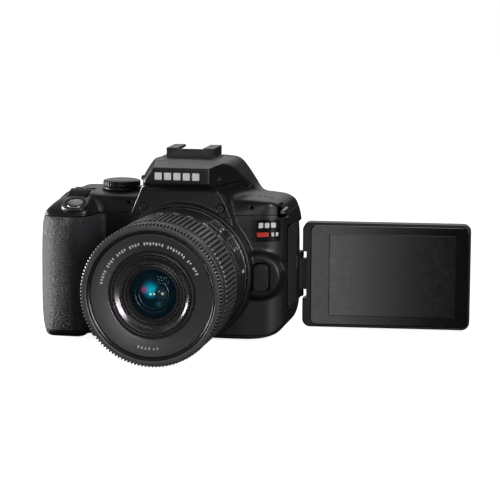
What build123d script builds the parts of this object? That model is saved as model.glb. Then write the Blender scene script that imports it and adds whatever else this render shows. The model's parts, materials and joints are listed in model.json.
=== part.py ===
from build123d import *
import os
from math import cos, sin, radians

# Compact digital single-lens reflex camera with a vari-angle screen and a kit zoom lens.
# Millimetres. +X runs from the grip to the screen, -Y is the way the lens points, +Z is up.
# The origin is the mouth of the tripod socket, on the base and under the lens axis.

os.makedirs("parts", exist_ok=True)

# ---- driving dimensions -------------------------------------------------------------
WALL = 2.0            # thickness of the body covers
GAP = 0.3             # clearance round anything that moves
BACK_Y = 34.8         # flat rear face
TOP_Z = 70.6          # top deck
HUMP_Z = 88.0         # roof of the viewfinder hump, under the accessory shoe
SPLIT_Y = 8.0         # seam between front and rear covers
SPLIT_TOP = 61.5      # seam under the top cover
SPLIT_BASE = 2.2      # seam over the bottom cover

LENS_Z = 33.6         # height of the lens axis
FLANGE_Y = -26.0      # lens mount flange
FRONT_Y = -87.8       # front rim of the lens
LENS_R = 33.25        # widest radius of the lens
BOSS_R = 34.4         # raised collar of the front cover round the mount

SCREEN_L = 84.0       # vari-angle screen unit, its length, height and thickness
SCREEN_H = 53.0
SCREEN_Z = 26.9       # height of the tilt axis
SCREEN_FACE = 4.6     # from the swing axis to the glass
SCREEN_BACK = 3.8     # from the swing axis to the back of the unit
SCREEN_EDGE = 1.9     # from the swing axis to the near edge of the unit
SWING_X, SWING_Y = 48.8, 30.2
OPEN_ANGLE = 175.4    # how far the screen stands open, from stowed
KNUCKLE_R = 2.6
KNUCKLE_H = 8.0       # half height of the hinge barrel
NOTCH_R = 12.6        # cleared radius round the tilt axis at the hinge
NOTCH_D = 3.9         # and how far it reaches from the swing axis

DIAL_X, DIAL_Y = -36.8, 5.0
DIAL_R = 9.2
WHEEL_X, WHEEL_Y, WHEEL_Z = -54.5, -10.5, 65.8
WHEEL_R, WHEEL_W = 6.2, 9.0
SHUTTER_AT = (-53.0, -23.5, 66.1)
SHUTTER_TILT = 23.0
KEYS_X, KEYS_Z = -55.0, 22.0
FLASH_Y, FLASH_Z = 9.0, 81.0        # pivot of the flash head
FLASH_SEAM = 76.6
BONNET_R = 18.2                      # back of the bonnet, swept round the pivot
ARM_X, ARM_R, PIVOT_R = 13.0, 7.9, 1.5
SHOE_X, SHOE_Y0 = 11.9, -4.2        # half width of the accessory shoe, and its front edge
MIRROR_Y, MIRROR_Z = 12.4, 46.2     # pivot of the reflex mirror
MIRROR_L = 28.0
SHUTTER_Y = 14.4                    # front face of the shutter unit
PANEL_SCREWS = (-19.04, 19.04)      # X of the two screws over the mount
PANEL_SCREW_Z = 65.7
BASE_SCREWS = ((-33, 17), (-28, -9), (28, -9), (33, 4), (33, 17), (-62, 26))


# ---- helpers ------------------------------------------------------------------------
def outline(points, radius=0.0, inset=0.0):
    """A closed flat outline with rounded corners, shrunk by inset."""
    face = make_face(Polyline(*points, close=True))
    if radius:
        face = fillet(face.vertices(), radius)
    if inset:
        face = offset(face, amount=-inset)
    return face


def along_y(face, y0, y1):
    """Extrudes an outline drawn in X and Z from y0 to y1."""
    plane = Plane(origin=(0, y1, 0), x_dir=(1, 0, 0), z_dir=(0, -1, 0))
    return extrude(plane * face, amount=y1 - y0, dir=(0, -1, 0))


def along_z(face, z0, z1):
    """Extrudes an outline drawn in X and Y from z0 to z1."""
    return extrude(Plane.XY.offset(z0) * face, amount=z1 - z0, dir=(0, 0, 1))


def along_x(face, x0, x1):
    """Extrudes an outline drawn in Y and Z from x0 to x1."""
    plane = Plane(origin=(x0, 0, 0), x_dir=(0, 1, 0), z_dir=(1, 0, 0))
    return extrude(plane * face, amount=x1 - x0, dir=(1, 0, 0))


def block(x0, x1, y0, y1, z0, z1, radius=0.0, axis=None):
    """A box between two corners, with the edges along one axis rounded."""
    solid = Box(x1 - x0, y1 - y0, z1 - z0)
    if radius:
        solid = fillet(solid.edges().filter_by(axis), radius)
    return Pos((x0 + x1) / 2, (y0 + y1) / 2, (z0 + z1) / 2) * solid


def disc_y(y0, y1, outer, inner=0.0, x=0.0, z=LENS_Z):
    """A disc or ring about an axis along Y."""
    face = Circle(outer) - Circle(inner) if inner else Circle(outer)
    return along_y(Pos(x, z) * face, y0, y1)


def disc_z(z0, z1, outer, inner=0.0, x=0.0, y=0.0):
    """A disc or ring about an axis along Z."""
    face = Circle(outer) - Circle(inner) if inner else Circle(outer)
    return along_z(Pos(x, y) * face, z0, z1)


def disc_x(x0, x1, outer, inner=0.0, y=0.0, z=0.0):
    """A disc or ring about an axis along X."""
    face = Circle(outer) - Circle(inner) if inner else Circle(outer)
    return along_x(Pos(y, z) * face, x0, x1)


def edged(solid, size, axis):
    """Chamfers the rims of a turned piece at its two ends along an axis."""
    ends = solid.faces().sort_by(axis)
    rims = ends[0].edges().filter_by(GeomType.CIRCLE) + ends[-1].edges().filter_by(GeomType.CIRCLE)
    return chamfer(rims, size)


def toothed(outer, depth, count, share=0.5):
    """A circle with square grooves cut into its rim."""
    width = 2 * outer * sin(radians(180 / count)) * share
    grooves = Sketch() + [
        Rot(0, 0, 360 * i / count) * Pos(outer, 0) * Rectangle(2 * depth, width) for i in range(count)
    ]
    return Circle(outer) - grooves


def screw_y(x, z, y_face, head, length):
    """A cross-head screw that is driven along +Y."""
    body = disc_y(y_face, y_face + 1.0, head, x=x, z=z)
    body += disc_y(y_face, y_face + length, head * 0.55, x=x, z=z)
    return body - disc_y(y_face, y_face + 0.6, head * 0.3, x=x, z=z)


def screw_z(x, y, z_face, head, length):
    """A cross-head screw that is driven up from below."""
    body = disc_z(z_face, z_face + 1.0, head, x=x, y=y)
    body += disc_z(z_face, z_face + length, head * 0.55, x=x, y=y)
    return body - disc_z(z_face, z_face + 0.6, head * 0.3, x=x, y=y)


# ---- the outer form of the body -----------------------------------------------------
# Each solid is what three outlines have in common, seen from the front, from above and from
# the side. CLEAR keeps the outlines that only trim from lying on the ones that shape.
CLEAR = 0.35
DECK_FRONT = [(-69, 0), (37, 0), (46, 3.4), (50.4, 12), (50.4, 59.6), (46.2, 67.6), (28, TOP_Z),
              (-59.5, TOP_Z), (-69.4, 61.5), (-72.6, 46), (-72.6, 13)]
DECK_PLAN = [(-72.6 - CLEAR, 27), (-67, BACK_Y + CLEAR), (50.4 + CLEAR, BACK_Y + CLEAR), (50.4 + CLEAR, -3),
             (44, -11), (31, -15 - CLEAR), (-35, -15 - CLEAR), (-45, -12), (-72.6 - CLEAR, -12)]
DECK_SIDE = [(-15, -CLEAR), (-15, 60), (-11.5, 69), (-6, TOP_Z + CLEAR), (25, TOP_Z + CLEAR),
             (BACK_Y, 64), (BACK_Y, -CLEAR)]
GRIP_FRONT = [(-67.5, 0), (-48, 0), (-43.5, 9), (-41, 30), (-40.4, 52), (-43.5, 62.5), (-50, TOP_Z),
              (-59.5, TOP_Z), (-69.4, 61.5), (-73, 46), (-73, 13)]
GRIP_PLAN = [(-73, 4), (-73 - CLEAR, -17), (-69.5, -26.5), (-62, -31.8), (-52.5, -31.8), (-45.5, -27),
             (-41.5, -17), (-40, -4), (-40, 4)]
GRIP_SIDE = [(-27, -CLEAR), (-31, 6), (-32, 30), (-31.6, 56), (-29.8, 61), (-24, 66.2),
             (-13, TOP_Z + CLEAR), (3, TOP_Z + CLEAR), (3, -CLEAR)]
HUMP_FRONT = [(-29, 58), (-27, 70), (-24, 78), (-20.2, 85.6), (-15.5, HUMP_Z), (15.5, HUMP_Z),
              (20.6, 86.4), (26, 77.3), (30, 70), (32, 58)]
HUMP_PLAN = [(-16.2, -31), (15, -31), (26.5, 8), (33, 31.2), (-30.5, 31.2), (-25, 2)]
HUMP_SIDE = [(-22.6, 58 - CLEAR), (-23.4, 70), (-30.4, 77.8), (-30.4, 85.6), (-16, HUMP_Z + CLEAR),
             (20, HUMP_Z + CLEAR), (26, 84), (30.6, 74), (30.6, 58 - CLEAR)]
PANEL_FRONT = [(-33, 41), (-28, 56), (-18.2, 79.5), (13.6, 79.5), (21.1, 69.6), (25.9, 57.5), (30, 44)]


def body_form(inset=0.0):
    """The whole outside of the body, or the same form shrunk all round."""
    deck = along_y(outline(DECK_FRONT, 3, inset), -20, 40)
    deck &= along_z(outline(DECK_PLAN, 3, inset), -5, 95)
    deck &= along_x(outline(DECK_SIDE, 1.5, inset), -80, 60)
    grip = along_y(outline(GRIP_FRONT, 3, inset), -40, 10)
    grip &= along_z(outline(GRIP_PLAN, 3.5, inset), -5, 95)
    grip &= along_x(outline(GRIP_SIDE, 2, inset), -80, -30)
    hump = along_y(outline(HUMP_FRONT, 2, inset), -35, 35)
    hump &= along_z(outline(HUMP_PLAN, 1, inset), 50, 95)
    hump &= along_x(outline(HUMP_SIDE, 1.2, inset), -40, 40)
    return deck + grip + hump


def front_boss():
    """The raised collar round the mount, the panel over it and the button's boss."""
    collar = disc_y(-25.4, -10, BOSS_R)
    collar = chamfer(collar.faces().sort_by(Axis.Y)[0].edges(), 0.8)
    panel = along_y(outline(PANEL_FRONT, 1.5), -22.7, -10)
    button = disc_y(-17.6, -10, 11.2, x=36.6, z=32.5)
    boss = collar + panel + button
    return boss - block(-60, 60, -40, 0, -10, 0)


# ---- screen and its hinge (built stowed, glass facing back) ----------------------------
def opened(solid):
    """Swings a piece of the screen from stowed to where it stands open."""
    turn = Pos(SWING_X, SWING_Y, 0) * Rot(0, 0, -OPEN_ANGLE) * Pos(-SWING_X, -SWING_Y, 0)
    return turn * solid


def screen_near():
    return SWING_X - SCREEN_EDGE


def screen_unit():
    """Housing, glass and display panel of the screen, stowed."""
    x1 = screen_near()
    x0 = x1 - SCREEN_L
    z0, z1 = SCREEN_Z - SCREEN_H / 2, SCREEN_Z + SCREEN_H / 2
    back, face = SWING_Y - SCREEN_BACK, SWING_Y + SCREEN_FACE
    housing = block(x0, x1, back, face, z0, z1, 4.0, Axis.Y)
    housing = chamfer(housing.faces().sort_by(Axis.Y)[0].edges(), 1.0)
    housing = chamfer(housing.faces().sort_by(Axis.Y)[-1].edges(), 0.5)
    housing -= disc_x(SWING_X - NOTCH_D, SWING_X, NOTCH_R, y=SWING_Y, z=SCREEN_Z)
    housing -= disc_x(SWING_X - 12.1, SWING_X, 2.1, y=SWING_Y, z=SCREEN_Z)
    housing -= disc_x(SWING_X - 10.1, SWING_X - 8.0, 3.1, y=SWING_Y, z=SCREEN_Z)
    gx0, gx1 = x0 + 1.0, x1 - NOTCH_D - 0.1
    glass = block(gx0, gx1, face - 1.0, face - 0.1, z0 + 1.2, z1 - 1.2, 3.0, Axis.Y)
    panel = block(gx0 + 8.0, gx1 - 9.0, face - 3.0, face - 1.0, z0 + 4.4, z1 - 4.6)
    housing -= block(gx0, gx1, face - 1.0, face + 1.0, z0 + 1.2, z1 - 1.2, 3.0, Axis.Y) + panel
    return {"screen_housing": housing, "screen_glass": glass, "lcd_panel": panel}


def screen_hinge():
    """Barrel on the swing axis, with a block that fills the screen's notch and its tilt stub."""
    barrel = disc_z(SCREEN_Z - KNUCKLE_H, SCREEN_Z + KNUCKLE_H, KNUCKLE_R, x=SWING_X, y=SWING_Y)
    barrel += disc_z(SCREEN_Z - KNUCKLE_H - 2.6, SCREEN_Z + KNUCKLE_H + 2.6, 1.0, x=SWING_X, y=SWING_Y)
    barrel += block(SWING_X - NOTCH_D + 0.3, SWING_X, SWING_Y - 2.4, SWING_Y + 2.4,
                    SCREEN_Z - KNUCKLE_H + 0.2, SCREEN_Z + KNUCKLE_H - 0.2)
    stub = disc_x(SWING_X - 11.8, SWING_X, 2.0, y=SWING_Y, z=SCREEN_Z)
    stub += disc_x(SWING_X - 9.8, SWING_X - 8.3, 2.9, y=SWING_Y, z=SCREEN_Z)
    return barrel + stub


def screen_recess():
    """What the stowed screen and its swing need cleared from the rear cover."""
    x1 = screen_near()
    top = SCREEN_Z + SCREEN_H / 2 + 0.5
    recess = block(x1 - SCREEN_L - 0.6, x1 + 0.3, SWING_Y - SCREEN_BACK - 0.4, 50, -5, top)
    recess += disc_z(-5, top, 5.4, x=SWING_X, y=SWING_Y)
    return recess + block(SWING_X, 60, SWING_Y - 4, 50, -5, top)


def hinge_ears():
    """Two lugs of the rear cover that hold the hinge barrel."""
    ears = []
    for side in (-1, 1):
        near = SCREEN_Z + side * (KNUCKLE_H + 0.15)
        far = SCREEN_Z + side * (KNUCKLE_H + 3.6)
        z0, z1 = min(near, far), max(near, far)
        lug = disc_z(z0, z1, 2.3, x=SWING_X, y=SWING_Y) + block(46.5, 50.4, 22, SWING_Y, z0, z1)
        ears.append(lug - disc_z(z0 - 1, z1 + 1, 1.06, x=SWING_X, y=SWING_Y))
    return ears


# ---- flash head -----------------------------------------------------------------------
def flash_zone(gap=0.0):
    """The part of the hump that lifts: a bonnet in front and an arm each side of the shoe."""
    seam = FLASH_SEAM - gap
    zone = block(-40, 40, -40, -5, seam, 95) - disc_x(-40, 40, BONNET_R - gap, y=FLASH_Y, z=FLASH_Z)
    for side in (-1, 1):
        arm = block(ARM_X - gap, 30, -12, FLASH_Y, seam, 95)
        arm += disc_x(ARM_X - gap, 30, ARM_R + gap, y=FLASH_Y, z=FLASH_Z)
        zone += arm if side > 0 else mirror(arm, about=Plane.YZ)
    return zone


def flash_head(form):
    """Hollow bonnet with its two arms and their pivot pins."""
    head = form & flash_zone()
    head -= block(-15.4, 14.4, -24, -11, FLASH_SEAM - 1, 84.0)
    for side in (-1, 1):
        near, far = side * (ARM_X - 1.6), side * (ARM_X + 1.0)
        head += disc_x(min(near, far), max(near, far), PIVOT_R, y=FLASH_Y, z=FLASH_Z)
    return head


# ---- controls ---------------------------------------------------------------------------
REAR_BUTTONS = {
    "menu_button": (33.5, 58.0, 2.6),
    "info_button": (41.8, 58.0, 2.6),
    "live_view_button": (-27.5, 58.0, 2.8),
    "lock_button": (-50.5, 57.2, 2.4),
    "focus_point_button": (-60.5, 57.2, 2.4),
    "play_button": (-47.0, 7.6, 2.6),
}
TOP_BUTTONS = {"iso_button": (-57.2, -1.0, 2.0), "disp_button": (-51.0, -1.0, 2.0)}
BUTTON_BASE = 2.2      # how deep a rear button reaches under the face


def rear_button(x, z, r):
    """A rear push button with a retaining flange inside the wall."""
    cap = edged(disc_y(BACK_Y - BUTTON_BASE, BACK_Y + 0.9, r, x=x, z=z), 0.3, Axis.Y)
    return cap + disc_y(BACK_Y - BUTTON_BASE - 1.0, BACK_Y - BUTTON_BASE, r + 0.8, x=x, z=z)


def top_button(x, y, r):
    """A small top button with a retaining flange inside the wall."""
    cap = edged(disc_z(TOP_Z - 2.4, TOP_Z + 0.8, r, x=x, y=y), 0.25, Axis.Z)
    return cap + disc_z(TOP_Z - 3.4, TOP_Z - 2.4, r + 0.6, x=x, y=y)


def tilted(solid):
    """Moves a piece built upright at the origin to the shutter button's seat."""
    return Pos(*SHUTTER_AT) * Rot(SHUTTER_TILT, 0, 0) * solid


def shutter_button():
    """Crowned cap on a short stem, with a retaining flange."""
    stem = Pos(0, 0, -2.5) * Cylinder(4.2, 3.0)
    crown = Pos(0, 0, -27.2) * Sphere(28.0)
    cap = (Pos(0, 0, -1.0) * Cylinder(4.2, 4.0)) & crown
    return tilted(stem + cap + Pos(0, 0, -4.2) * Cylinder(4.7, 1.0))


def mode_dial():
    dial = along_z(toothed(DIAL_R, 0.45, 40), 72.0, 75.2)
    dial = Pos(DIAL_X, DIAL_Y, 0) * dial
    return dial + disc_z(64.0, 72.0, 2.4, x=DIAL_X, y=DIAL_Y)


def power_lever():
    ring = disc_z(70.75, 71.75, 9.7, 2.8, x=DIAL_X, y=DIAL_Y)
    tab = block(-1.6, 1.6, 9.5, 13.0, 70.75, 73.0, 0.8, Axis.Z)
    return ring + Pos(DIAL_X, DIAL_Y, 0) * Rot(0, 0, 28) * tab


def main_dial():
    wheel = along_x(toothed(WHEEL_R, 0.5, 32), -WHEEL_W / 2, WHEEL_W / 2)
    wheel += disc_x(-WHEEL_W / 2 - 2.6, WHEEL_W / 2 + 2.6, 1.5)
    return Pos(WHEEL_X, WHEEL_Y, WHEEL_Z) * wheel


def cross_keys():
    ring = disc_y(BACK_Y - 1.6, BACK_Y + 0.9, 9.4, 4.9, x=KEYS_X, z=KEYS_Z)
    return edged(ring, 0.4, Axis.Y)


def set_button():
    return edged(disc_y(BACK_Y - 2.4, BACK_Y + 0.8, 4.5, x=KEYS_X, z=KEYS_Z), 0.4, Axis.Y)


# ---- lens ---------------------------------------------------------------------------------
NOSE_R, THREAD_R = 30.0, 29.0
THREAD_Y, SEAT_R = -85.8, 28.7         # where the filter thread ends, and the name ring's seat behind it
RING_IN = 30.25
SKIRT_Y0, SKIRT_Y1 = -81.4, -75.7
ZOOM_Y0, ZOOM_Y1 = -75.3, -50.6
BARREL_Y1 = -28.3
TUBE_IN, TUBE_OUT = 28.7, 29.4
SLIDE_IN, SLIDE_OUT = 27.3, 28.5
TEETH_FINE, RIBS_ZOOM = 124, 90


def focus_ring():
    ring = along_y(Pos(0, LENS_Z) * toothed(LENS_R, 0.45, TEETH_FINE), FRONT_Y + 0.8, SKIRT_Y0 - 0.9)
    ring += disc_y(FRONT_Y, FRONT_Y + 0.8, LENS_R - 0.9)
    ring += disc_y(SKIRT_Y0 - 0.9, SKIRT_Y0 - 0.3, LENS_R - 0.5)
    return ring - disc_y(FRONT_Y - 1, SKIRT_Y0 + 1, RING_IN)


def zoom_ring():
    ribs = Pos(0, LENS_Z) * toothed(LENS_R - 0.05, 0.55, RIBS_ZOOM, 0.38)
    ring = along_y(ribs, ZOOM_Y0 + 1.2, ZOOM_Y1 - 1.0)
    ring += disc_y(ZOOM_Y0, ZOOM_Y0 + 1.2, LENS_R - 0.6) + disc_y(ZOOM_Y1 - 1.0, ZOOM_Y1, LENS_R - 0.4)
    return ring - disc_y(ZOOM_Y0 - 1, ZOOM_Y1 + 1, TUBE_OUT + 0.1)


def front_barrel():
    nose = disc_y(FRONT_Y + 0.3, THREAD_Y, NOSE_R, THREAD_R) + disc_y(THREAD_Y, SKIRT_Y0, NOSE_R, SEAT_R)
    skirt = disc_y(SKIRT_Y0, SKIRT_Y1, LENS_R - 0.35, SLIDE_IN)
    tube = disc_y(SKIRT_Y1, -40.0, SLIDE_OUT, SLIDE_IN)
    return nose + skirt + tube


def name_ring():
    """Stepped front bezel that leads in to the first element."""
    rim = SEAT_R - 0.2
    steps = [(rim, THREAD_Y), (20.6, THREAD_Y), (20.6, -85.2), (19.6, -85.2), (19.6, -85.6), (18.2, -85.6),
             (18.2, -85.0), (16.6, -85.0), (16.6, -85.5), (14.6, -85.5), (14.6, -84.6), (13.4, -84.6),
             (13.4, -84.9), (12.4, -84.9), (12.4, -84.0), (11.2, -84.0), (11.2, -82.0), (rim, -82.0)]
    face = Plane.XY * make_face(Polyline(*steps, close=True))
    return Pos(0, 0, LENS_Z) * revolve(face, Axis.Y)


def element(y, radius, front, back, edge):
    """One glass element: an edge band with a dome on each side."""
    glass = disc_y(y, y + edge, radius)
    for bulge, y_face, way in ((front, y, -1), (back, y + edge, 1)):
        ball_r = (radius ** 2 + bulge ** 2) / (2 * bulge)
        ball = Pos(0, y_face + way * (bulge - ball_r), LENS_Z) * Sphere(ball_r)
        glass += ball & disc_y(min(y_face, y_face + way * bulge), max(y_face, y_face + way * bulge), radius)
    return glass


def lens_elements():
    return Compound([
        element(-81.2, 12.6, 2.3, 0.6, 2.6),
        element(-70.5, 11.0, 0.8, 1.6, 2.2),
        element(-58.0, 9.0, 1.2, 1.2, 2.6),
        element(-46.0, 9.6, 0.7, 1.5, 2.4),
    ])


def aperture_unit():
    """Inner cell that carries the elements, with the iris plate across it."""
    cell = disc_y(-81.95, -41.0, 14.6, 12.7) + disc_y(-79.0, -77.4, SLIDE_IN - 0.02, 14.6)
    cell += disc_y(-54.2, -53.2, 14.6, 4.2) + disc_y(-70.2, -68.6, 12.7, 11.05)
    cell += disc_y(-57.6, -55.8, 12.7, 9.05) + disc_y(-45.8, -44.0, 12.7, 9.65)
    return cell


def lens_barrel():
    tube = disc_y(ZOOM_Y0 + 0.3, ZOOM_Y1 + 0.3, TUBE_OUT, TUBE_IN)
    rear = disc_y(ZOOM_Y1 + 0.3, BARREL_Y1, LENS_R - 0.35, TUBE_IN)
    rear -= disc_y(-46.2, -45.6, 40, LENS_R - 0.8)
    wall = disc_y(BARREL_Y1 - 2.0, BARREL_Y1, TUBE_IN + 0.5, 20.0)
    pad = disc_y(-44.6, -30.4, LENS_R + 0.45, LENS_R - 2) & Pos(0, 0, LENS_Z) * sector(20, 66)
    barrel = tube + rear + wall + pad
    return barrel - switch_slot(52.0) - switch_slot(33.0)


def sector(a0, a1):
    """A wedge about the lens axis, between two angles from +X."""
    wedge = [(0, 0)] + [(60 * cos(radians(a)), 60 * sin(radians(a))) for a in (a0, (a0 + a1) / 2, a1)]
    return along_y(make_face(Polyline(*wedge, close=True)), -60, -20)


def at_angle(solid, angle):
    """Turns a piece built over the lens axis, at +X, to an angle about that axis."""
    return Pos(0, 0, LENS_Z) * Rot(0, -angle, 0) * solid


def switch_slot(angle):
    return at_angle(block(LENS_R - 1.6, LENS_R + 2, -43.4, -33.4, -2.1, 2.1), angle)


def lens_switch(angle):
    """A ridged slider in its slot."""
    slide = block(LENS_R - 1.5, LENS_R + 1.0, -43.2, -38.4, -1.9, 1.9)
    for i in range(3):
        slide += block(LENS_R + 1.0, LENS_R + 1.5, -42.6 + 1.5 * i, -42.0 + 1.5 * i, -1.7, 1.7)
    return at_angle(slide, angle)


# ---- mount, mirror, shutter, sensor -----------------------------------------------------------
PIN_X = 29.4
SCREW_CIRCLE = 29.2


def mount_ring():
    ring = disc_y(FLANGE_Y, -22.9, 32.5, 27.0)
    ring -= disc_y(-30, -20, 1.8, x=PIN_X)
    for angle in (45, 135, 225, 315):
        x, z = SCREW_CIRCLE * cos(radians(angle)), LENS_Z + SCREW_CIRCLE * sin(radians(angle))
        ring -= disc_y(FLANGE_Y, FLANGE_Y + 1.0, 1.8, x=x, z=z) + disc_y(-30, -20, 1.0, x=x, z=z)
    return ring


def lens_mount_plate():
    plate = disc_y(BARREL_Y1, FLANGE_Y, 31.6, 22.0) + disc_y(FLANGE_Y, -20.8, 26.4, 24.4)
    return plate - disc_y(-27.8, -25, 1.8, x=PIN_X)


def mirror_box():
    box = block(-19, 19, -20.4, 14.0, 17.6, 50.4) + disc_y(-22.9, -19.0, 30.6)
    box -= block(-15.4, 15.4, -30, 20, 20.4, 48.6) + block(-13.5, 13.5, -9, 11, 40, 60)
    box -= disc_y(-30, -20.4, 26.6) + disc_y(-30, 0, 1.8, x=PIN_X)
    for angle in (45, 135, 225, 315):
        x, z = SCREW_CIRCLE * cos(radians(angle)), LENS_Z + SCREW_CIRCLE * sin(radians(angle))
        box -= disc_y(-30, 0, 1.0, x=x, z=z)
    return box


def in_mirror_frame(solid):
    """Lays a piece built flat, running towards -Y from its pivot, at 45 degrees."""
    return Pos(0, MIRROR_Y, MIRROR_Z) * Rot(45, 0, 0) * solid


def reflex_mirror():
    plate = block(-12.8, 12.8, -MIRROR_L, 0.6, -1.2, 0.0)
    for x in (-14.6, 13.2):
        plate += block(x, x + 1.4, -12, 0.9, -1.6, 0.5)
        plate += block(min(x, 12.0), max(x, -12.0), -3, -1, -1.6, -0.2)
    plate += disc_x(-15.3, 15.3, 0.8, y=0.4, z=-0.5)
    return in_mirror_frame(plate)


def sub_mirror():
    """Small mirror behind the main one, hanging from its own pivot."""
    flap = Pos(0, -14, -2.4) * (Rot(75, 0, 0) * block(-6, 6, -10.5, 0, -0.8, 0.0))
    flap += Pos(0, -14, -2.4) * disc_x(-6.6, 6.6, 0.7)
    return in_mirror_frame(flap)


def shutter_frame():
    z0, z1 = 6.2, 60.8
    frame = block(-17, 17, SHUTTER_Y, SHUTTER_Y + 3.0, z0, z1)
    frame -= block(-13.8, 13.8, SHUTTER_Y + 0.4, SHUTTER_Y + 2.6, z0 + 0.8, z1 - 0.6)
    return frame - block(-12.2, 12.2, SHUTTER_Y - 1, SHUTTER_Y + 4, 25.6, 41.6)


def curtain(y, z0):
    """Four thin overlapping blades, as one stack."""
    return block(-13.4, 13.4, y, y + 0.35, z0, z0 + 17.2)


def image_sensor():
    package = block(-15, 15, 18.2, 20.8, 22.0, 45.2) - block(-11.2, 11.2, 18.0, 18.6, 26.1, 41.1)
    return package + block(-11.2, 11.2, 18.6, 18.9, 26.1, 41.1)


def chassis():
    plate = block(-36, 38, -10.5, 20.6, 3.2, 4.8)
    walls = block(-22.2, -20.8, -12.6, 21.4, 4.8, 55) + block(20.8, 22.2, -12.6, 21.4, 4.8, 55)
    rear = block(-22.2, 22.2, 21.2, 22.2, 4.8, 55)
    brace = block(-22.2, 22.2, -12, 12, 10.8, 12.0)
    frame = plate + walls + rear + brace - disc_z(0, 9, 6.05) - block(-20, 20, 20, 23, 50, 56)
    for x, y in BASE_SCREWS:
        frame -= disc_z(0, 9, 0.9, x=x, y=y)
    return frame


def main_board():
    board = block(-34, 42, 22.6, 23.8, 6.5, 57)
    for x, z, w, h in ((-20, 30, 14, 14), (4, 34, 18, 12), (24, 16, 10, 10), (-24, 50, 12, 8)):
        board += block(x, x + w, 23.8, 24.8, z, z + h - 4)
    return board


def pentamirror():
    """Roof-shaped hollow block of mirrors over the focusing screen."""
    side = [(-14, 54.2), (-15.5, 61), (-6, 72.6), (5, 73.8), (13.8, 65.5), (13.8, 54.2)]
    shape = along_x(outline(side, 1), -16, 16)
    gable = [(-16.4, 54), (16.4, 54), (16.4, 63), (3, 74.2), (-3, 74.2), (-16.4, 63)]
    room = [(-14, 50), (14, 50), (14, 62), (3, 71.8), (-3, 71.8), (-14, 62)]
    roof = along_y(outline(gable), -20, 25)
    hollow = along_x(outline(side, 0, 1.6), -14.4, 14.4) & along_y(outline(room), -20, 25)
    prism = (shape & roof) - hollow
    return prism - block(-11, 11, -10, 12, 50, 57) - block(-8, 8, 10, 30, 57, 65)


def focusing_screen():
    return block(-14.5, 14.5, -10, 12, 50.6, 52.4) + block(-12, 12, -8, 10, 52.4, 54.0)


# ---- eyepiece, shoe, lugs, doors -----------------------------------------------------------------
def eyecup():
    cup = block(-17.2, 17.2, 30.9, 38.8, 58.6, 79.8, 5.0, Axis.Y)
    cup = chamfer(cup.faces().sort_by(Axis.Y)[-1].edges(), 1.6)
    cup -= block(-11.6, 11.6, 30, 40, 62.6, 75.6, 2.5, Axis.Y)
    return cup - block(-14.4, 14.4, 36.6, 40, 60.8, 77.6, 3.5, Axis.Y)


def eyepiece_lens():
    return block(-9.6, 9.6, 27.0, 30.4, 63.8, 74.4, 2.0, Axis.Y)


def hot_shoe():
    """Standard 18.6 mm accessory shoe, open to the rear."""
    plate = block(-SHOE_X, SHOE_X, SHOE_Y0, 14.4, HUMP_Z, HUMP_Z + 1.2)
    for side in (-1, 1):
        rail = block(9.35, SHOE_X, SHOE_Y0, 14.4, HUMP_Z + 1.2, HUMP_Z + 3.3)
        rail += block(6.3, SHOE_X, SHOE_Y0, 14.4, HUMP_Z + 3.3, HUMP_Z + 4.6)
        plate += rail if side > 0 else mirror(rail, about=Plane.YZ)
    plate += block(-9.35, 9.35, SHOE_Y0, SHOE_Y0 + 1.2, HUMP_Z + 1.2, HUMP_Z + 3.3)
    for x, y in ((0, 5.0), (-3.4, 1.6), (3.4, 1.6), (-3.4, 8.4), (3.4, 8.4)):
        plate += disc_z(HUMP_Z + 1.2, HUMP_Z + 1.4, 1.0, x=x, y=y)
    return plate


LUG_POCKETS = ((-75, -68.6, 3.5, 15.5, 56.0, 64.5), (44.0, 53, -9.0, 2.5, 60.0, 66.4))


def strap_lugs():
    """A steel bar across each strap pocket."""
    left = Pos(-70.6, 9.5, 60.3) * Rot(90, 0, 0) * Cylinder(1.1, 12.0)
    right = Pos(47.0, -3.25, 63.2) * Rot(90, 0, 0) * Cylinder(1.1, 11.5)
    return Compound([left, right])


FLAP = (50.4, -4.0, 16.0, 15.0, 56.0)      # outer X, Y from and to, Z from and to


def terminal_cover():
    """Soft cover over the sockets, hinged along its front edge."""
    x, y0, y1, z0, z1 = FLAP
    cover = block(x - 1.5, x, y0 + 0.2, y1 - 0.3, z0 + 0.3, z1 - 0.3)
    cover += block(x - 2.2, x - 1.4, y0 + 4, y1 - 3, z0 + 4, z1 - 4)
    lip = block(x - 1.2, x + 0.35, y1 - 2.2, y1 - 0.6, 32.0, 38.0)
    return cover + lip


DOOR = (-66.5, -45.6, -24.0, 3.0)      # battery door, X and Y ranges
DOOR_PIN = 0.9                         # from its edge to its hinge pin


def battery_door():
    x0, x1, y0, y1 = DOOR
    plate = block(x0, x1, y0, y1, 0.0, 1.8, 2.0, Axis.Z)
    barrel = disc_y(y0 + 3, y1 - 3, 1.1, 0.55, x=x1 + DOOR_PIN, z=1.5)
    plate -= block(x0 + 1.2, x0 + 6.2, -14, -7, -1, 1.1)
    return plate + barrel + block(x1 - 2, x1, y0 + 4, y1 - 4, 1.0, 2.2)


def door_latch():
    x0 = DOOR[0]
    return block(x0 + 1.6, x0 + 4.6, -13.4, -7.6, 0.2, 1.0)


def battery():
    pack = block(-65.4, -51.4, -25.5, 7.5, 3.4, 52.8, 1.5, Axis.Z)
    return pack - block(-63, -61, -26, -22, 44, 60)


def memory_card():
    card = block(-49.0, -46.9, -20.5, 3.5, 10.0, 42.0)
    return card - block(-50, -46, -21, -18, 40, 44)


def tripod_socket():
    socket = disc_z(0.0, 9.0, 6.0) + disc_z(4.8, 6.6, 9.0)
    return socket - disc_z(-1, 8.0, 3.175)


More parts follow.
